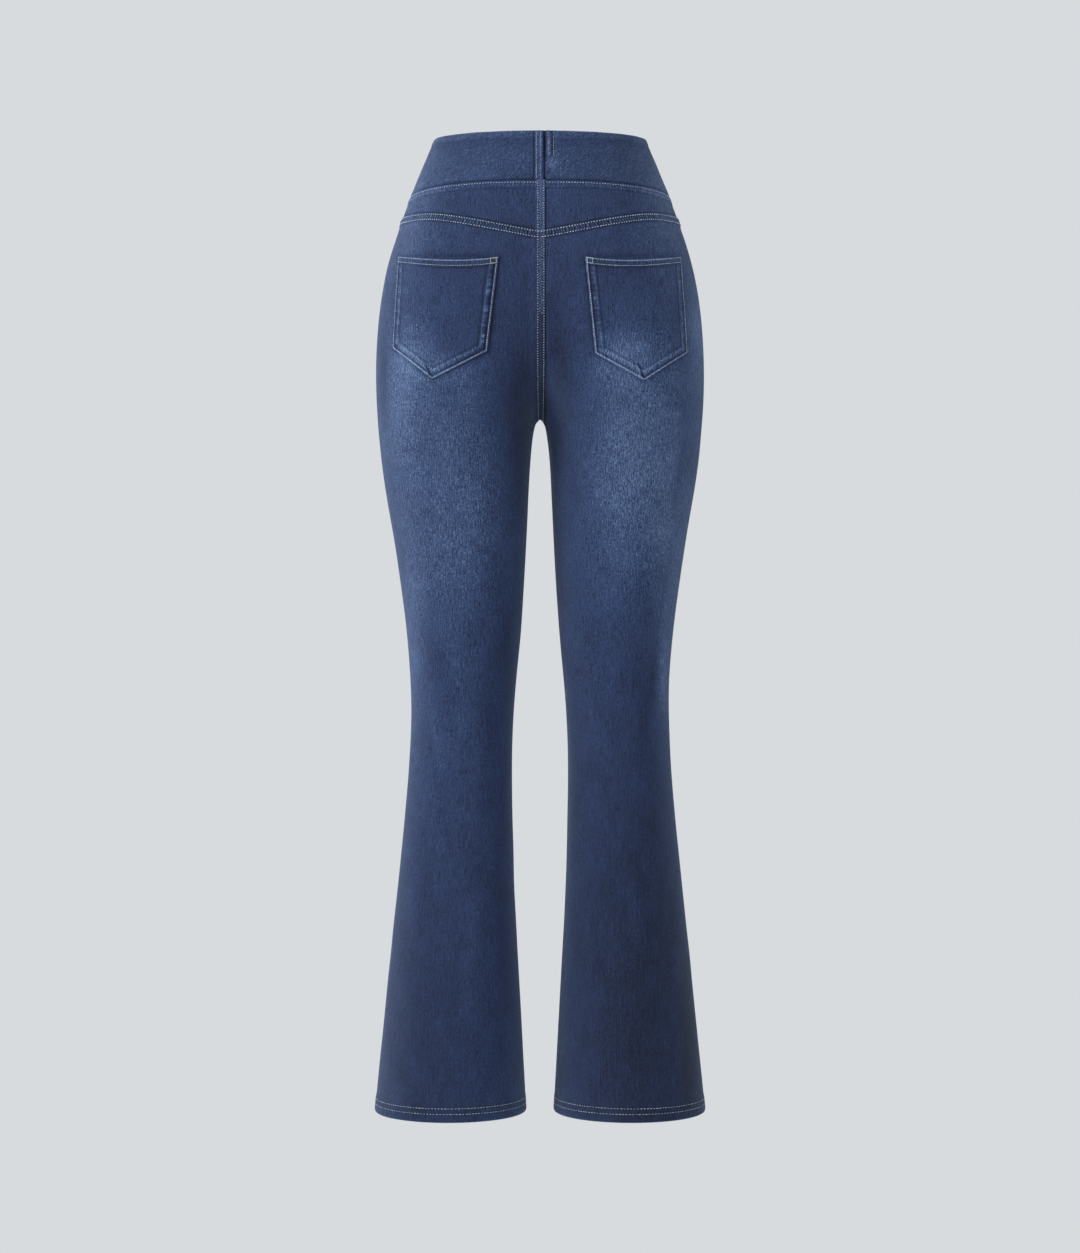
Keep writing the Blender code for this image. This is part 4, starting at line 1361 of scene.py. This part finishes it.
make_waistband()
make_centre_folds()
make_yoke()
make_band_seam()
make_yoke_seam()
make_centre_seam()
make_legs()
make_hem_stitches()
make_pockets()
make_bar_tacks()

# ---------------------------------------------------------------- camera, light and stage

PICTURE = (1080, 1253)  # pixels
FOCAL = 3439  # pixels
SENSOR = 36
CAMERA_AT = (0, 3.8, -0.4627)
CAMERA_TILT = math.atan((PICTURE[1] / 2 - 560) / FOCAL)
PALE = (0.680, 0.708, 0.730)
FLOOR_DROP = 1.25


def make_camera():
    data = bpy.data.cameras.new("camera")
    data.sensor_width = SENSOR
    data.lens = SENSOR * FOCAL / max(PICTURE)
    data.clip_end = 50
    camera = bpy.data.objects.new("camera", data)
    camera.location = CAMERA_AT
    camera.rotation_euler = (math.pi / 2 - CAMERA_TILT, 0, math.pi)
    bpy.context.scene.collection.objects.link(camera)
    bpy.context.scene.camera = camera


LIGHT_COLUMNS = ("name", "x", "y", "z", "width", "height", "watts")
LIGHTS = (
    ("key", 3.0, 1.9, 0.9, 1.1, 1.5, 95),
    ("fill", -2.2, 3.6, 0.5, 2.0, 2.0, 48),
    ("rim_left", 2.3, -1.5, -0.2, 0.7, 2.0, 20),
    ("rim_right", -2.3, -1.3, 0.4, 0.7, 1.2, 9),
    ("front", 0.8, -3.2, 0.6, 2.0, 1.8, 45),
)


def make_lights():
    target = np.array((0, 0, -0.5))
    for row in LIGHTS:
        light = dict(zip(LIGHT_COLUMNS, row))
        data = bpy.data.lights.new(light["name"], "AREA")
        data.shape = "RECTANGLE"
        data.size, data.size_y = light["width"], light["height"]
        data.energy = light["watts"]
        lamp = bpy.data.objects.new(light["name"], data)
        lamp.location = (light["x"], light["y"], light["z"])
        aim = target - np.array(lamp.location)
        flat = math.hypot(aim[0], aim[1])
        lamp.rotation_euler = (math.atan2(flat, -aim[2]), 0, math.atan2(aim[1], aim[0]) - math.pi / 2)
        bpy.context.scene.collection.objects.link(lamp)


def pale_to_camera(tree, lit, pale, kind):
    """Mixes what lights the scene with the even pale tone that the camera sees."""
    mix = tree.nodes.new("ShaderNodeMixShader")
    path = tree.nodes.new("ShaderNodeLightPath")
    tree.links.new(path.outputs["Is Camera Ray"], mix.inputs[0])
    tree.links.new(lit, mix.inputs[1])
    tree.links.new(pale, mix.inputs[2])
    tree.links.new(mix.outputs[0], tree.nodes[kind].inputs["Surface"])


def make_stage():
    world = bpy.data.worlds.new("studio")
    world.use_nodes = True
    bpy.context.scene.world = world
    tree = world.node_tree
    ambient = tree.nodes["Background"]
    ambient.inputs["Color"].default_value = (0.90, 0.94, 1.0, 1)
    ambient.inputs["Strength"].default_value = 0.30
    shown = tree.nodes.new("ShaderNodeBackground")
    shown.inputs["Color"].default_value = (*PALE, 1)
    pale_to_camera(tree, ambient.outputs[0], shown.outputs[0], "World Output")

    around = np.linspace(0, 2 * np.pi, 65)[:-1]
    mesh = bpy.data.meshes.new("floor")
    corners = np.stack([7 * np.cos(around), 7 * np.sin(around), 0 * around - FLOOR_DROP], axis=-1)
    mesh.from_pydata(corners.tolist(), [], [list(range(64))])
    material = bpy.data.materials.new("floor")
    material.use_nodes = True
    tree = material.node_tree
    tree.nodes["Principled BSDF"].inputs["Base Color"].default_value = (*PALE, 1)
    tree.nodes["Principled BSDF"].inputs["Roughness"].default_value = 0.9
    glow = tree.nodes.new("ShaderNodeEmission")
    glow.inputs["Color"].default_value = (*PALE, 1)
    pale_to_camera(tree, tree.nodes["Principled BSDF"].outputs[0], glow.outputs[0], "Material Output")
    mesh.materials.append(material)
    floor = bpy.data.objects.new("floor", mesh)
    bpy.context.scene.collection.objects.link(floor)


make_camera()
make_lights()
make_stage()
bpy.context.scene.view_settings.view_transform = "Standard"
bpy.context.scene.cycles.denoising_prefilter = "NONE"  # keeps stitches that are narrower than a pixel
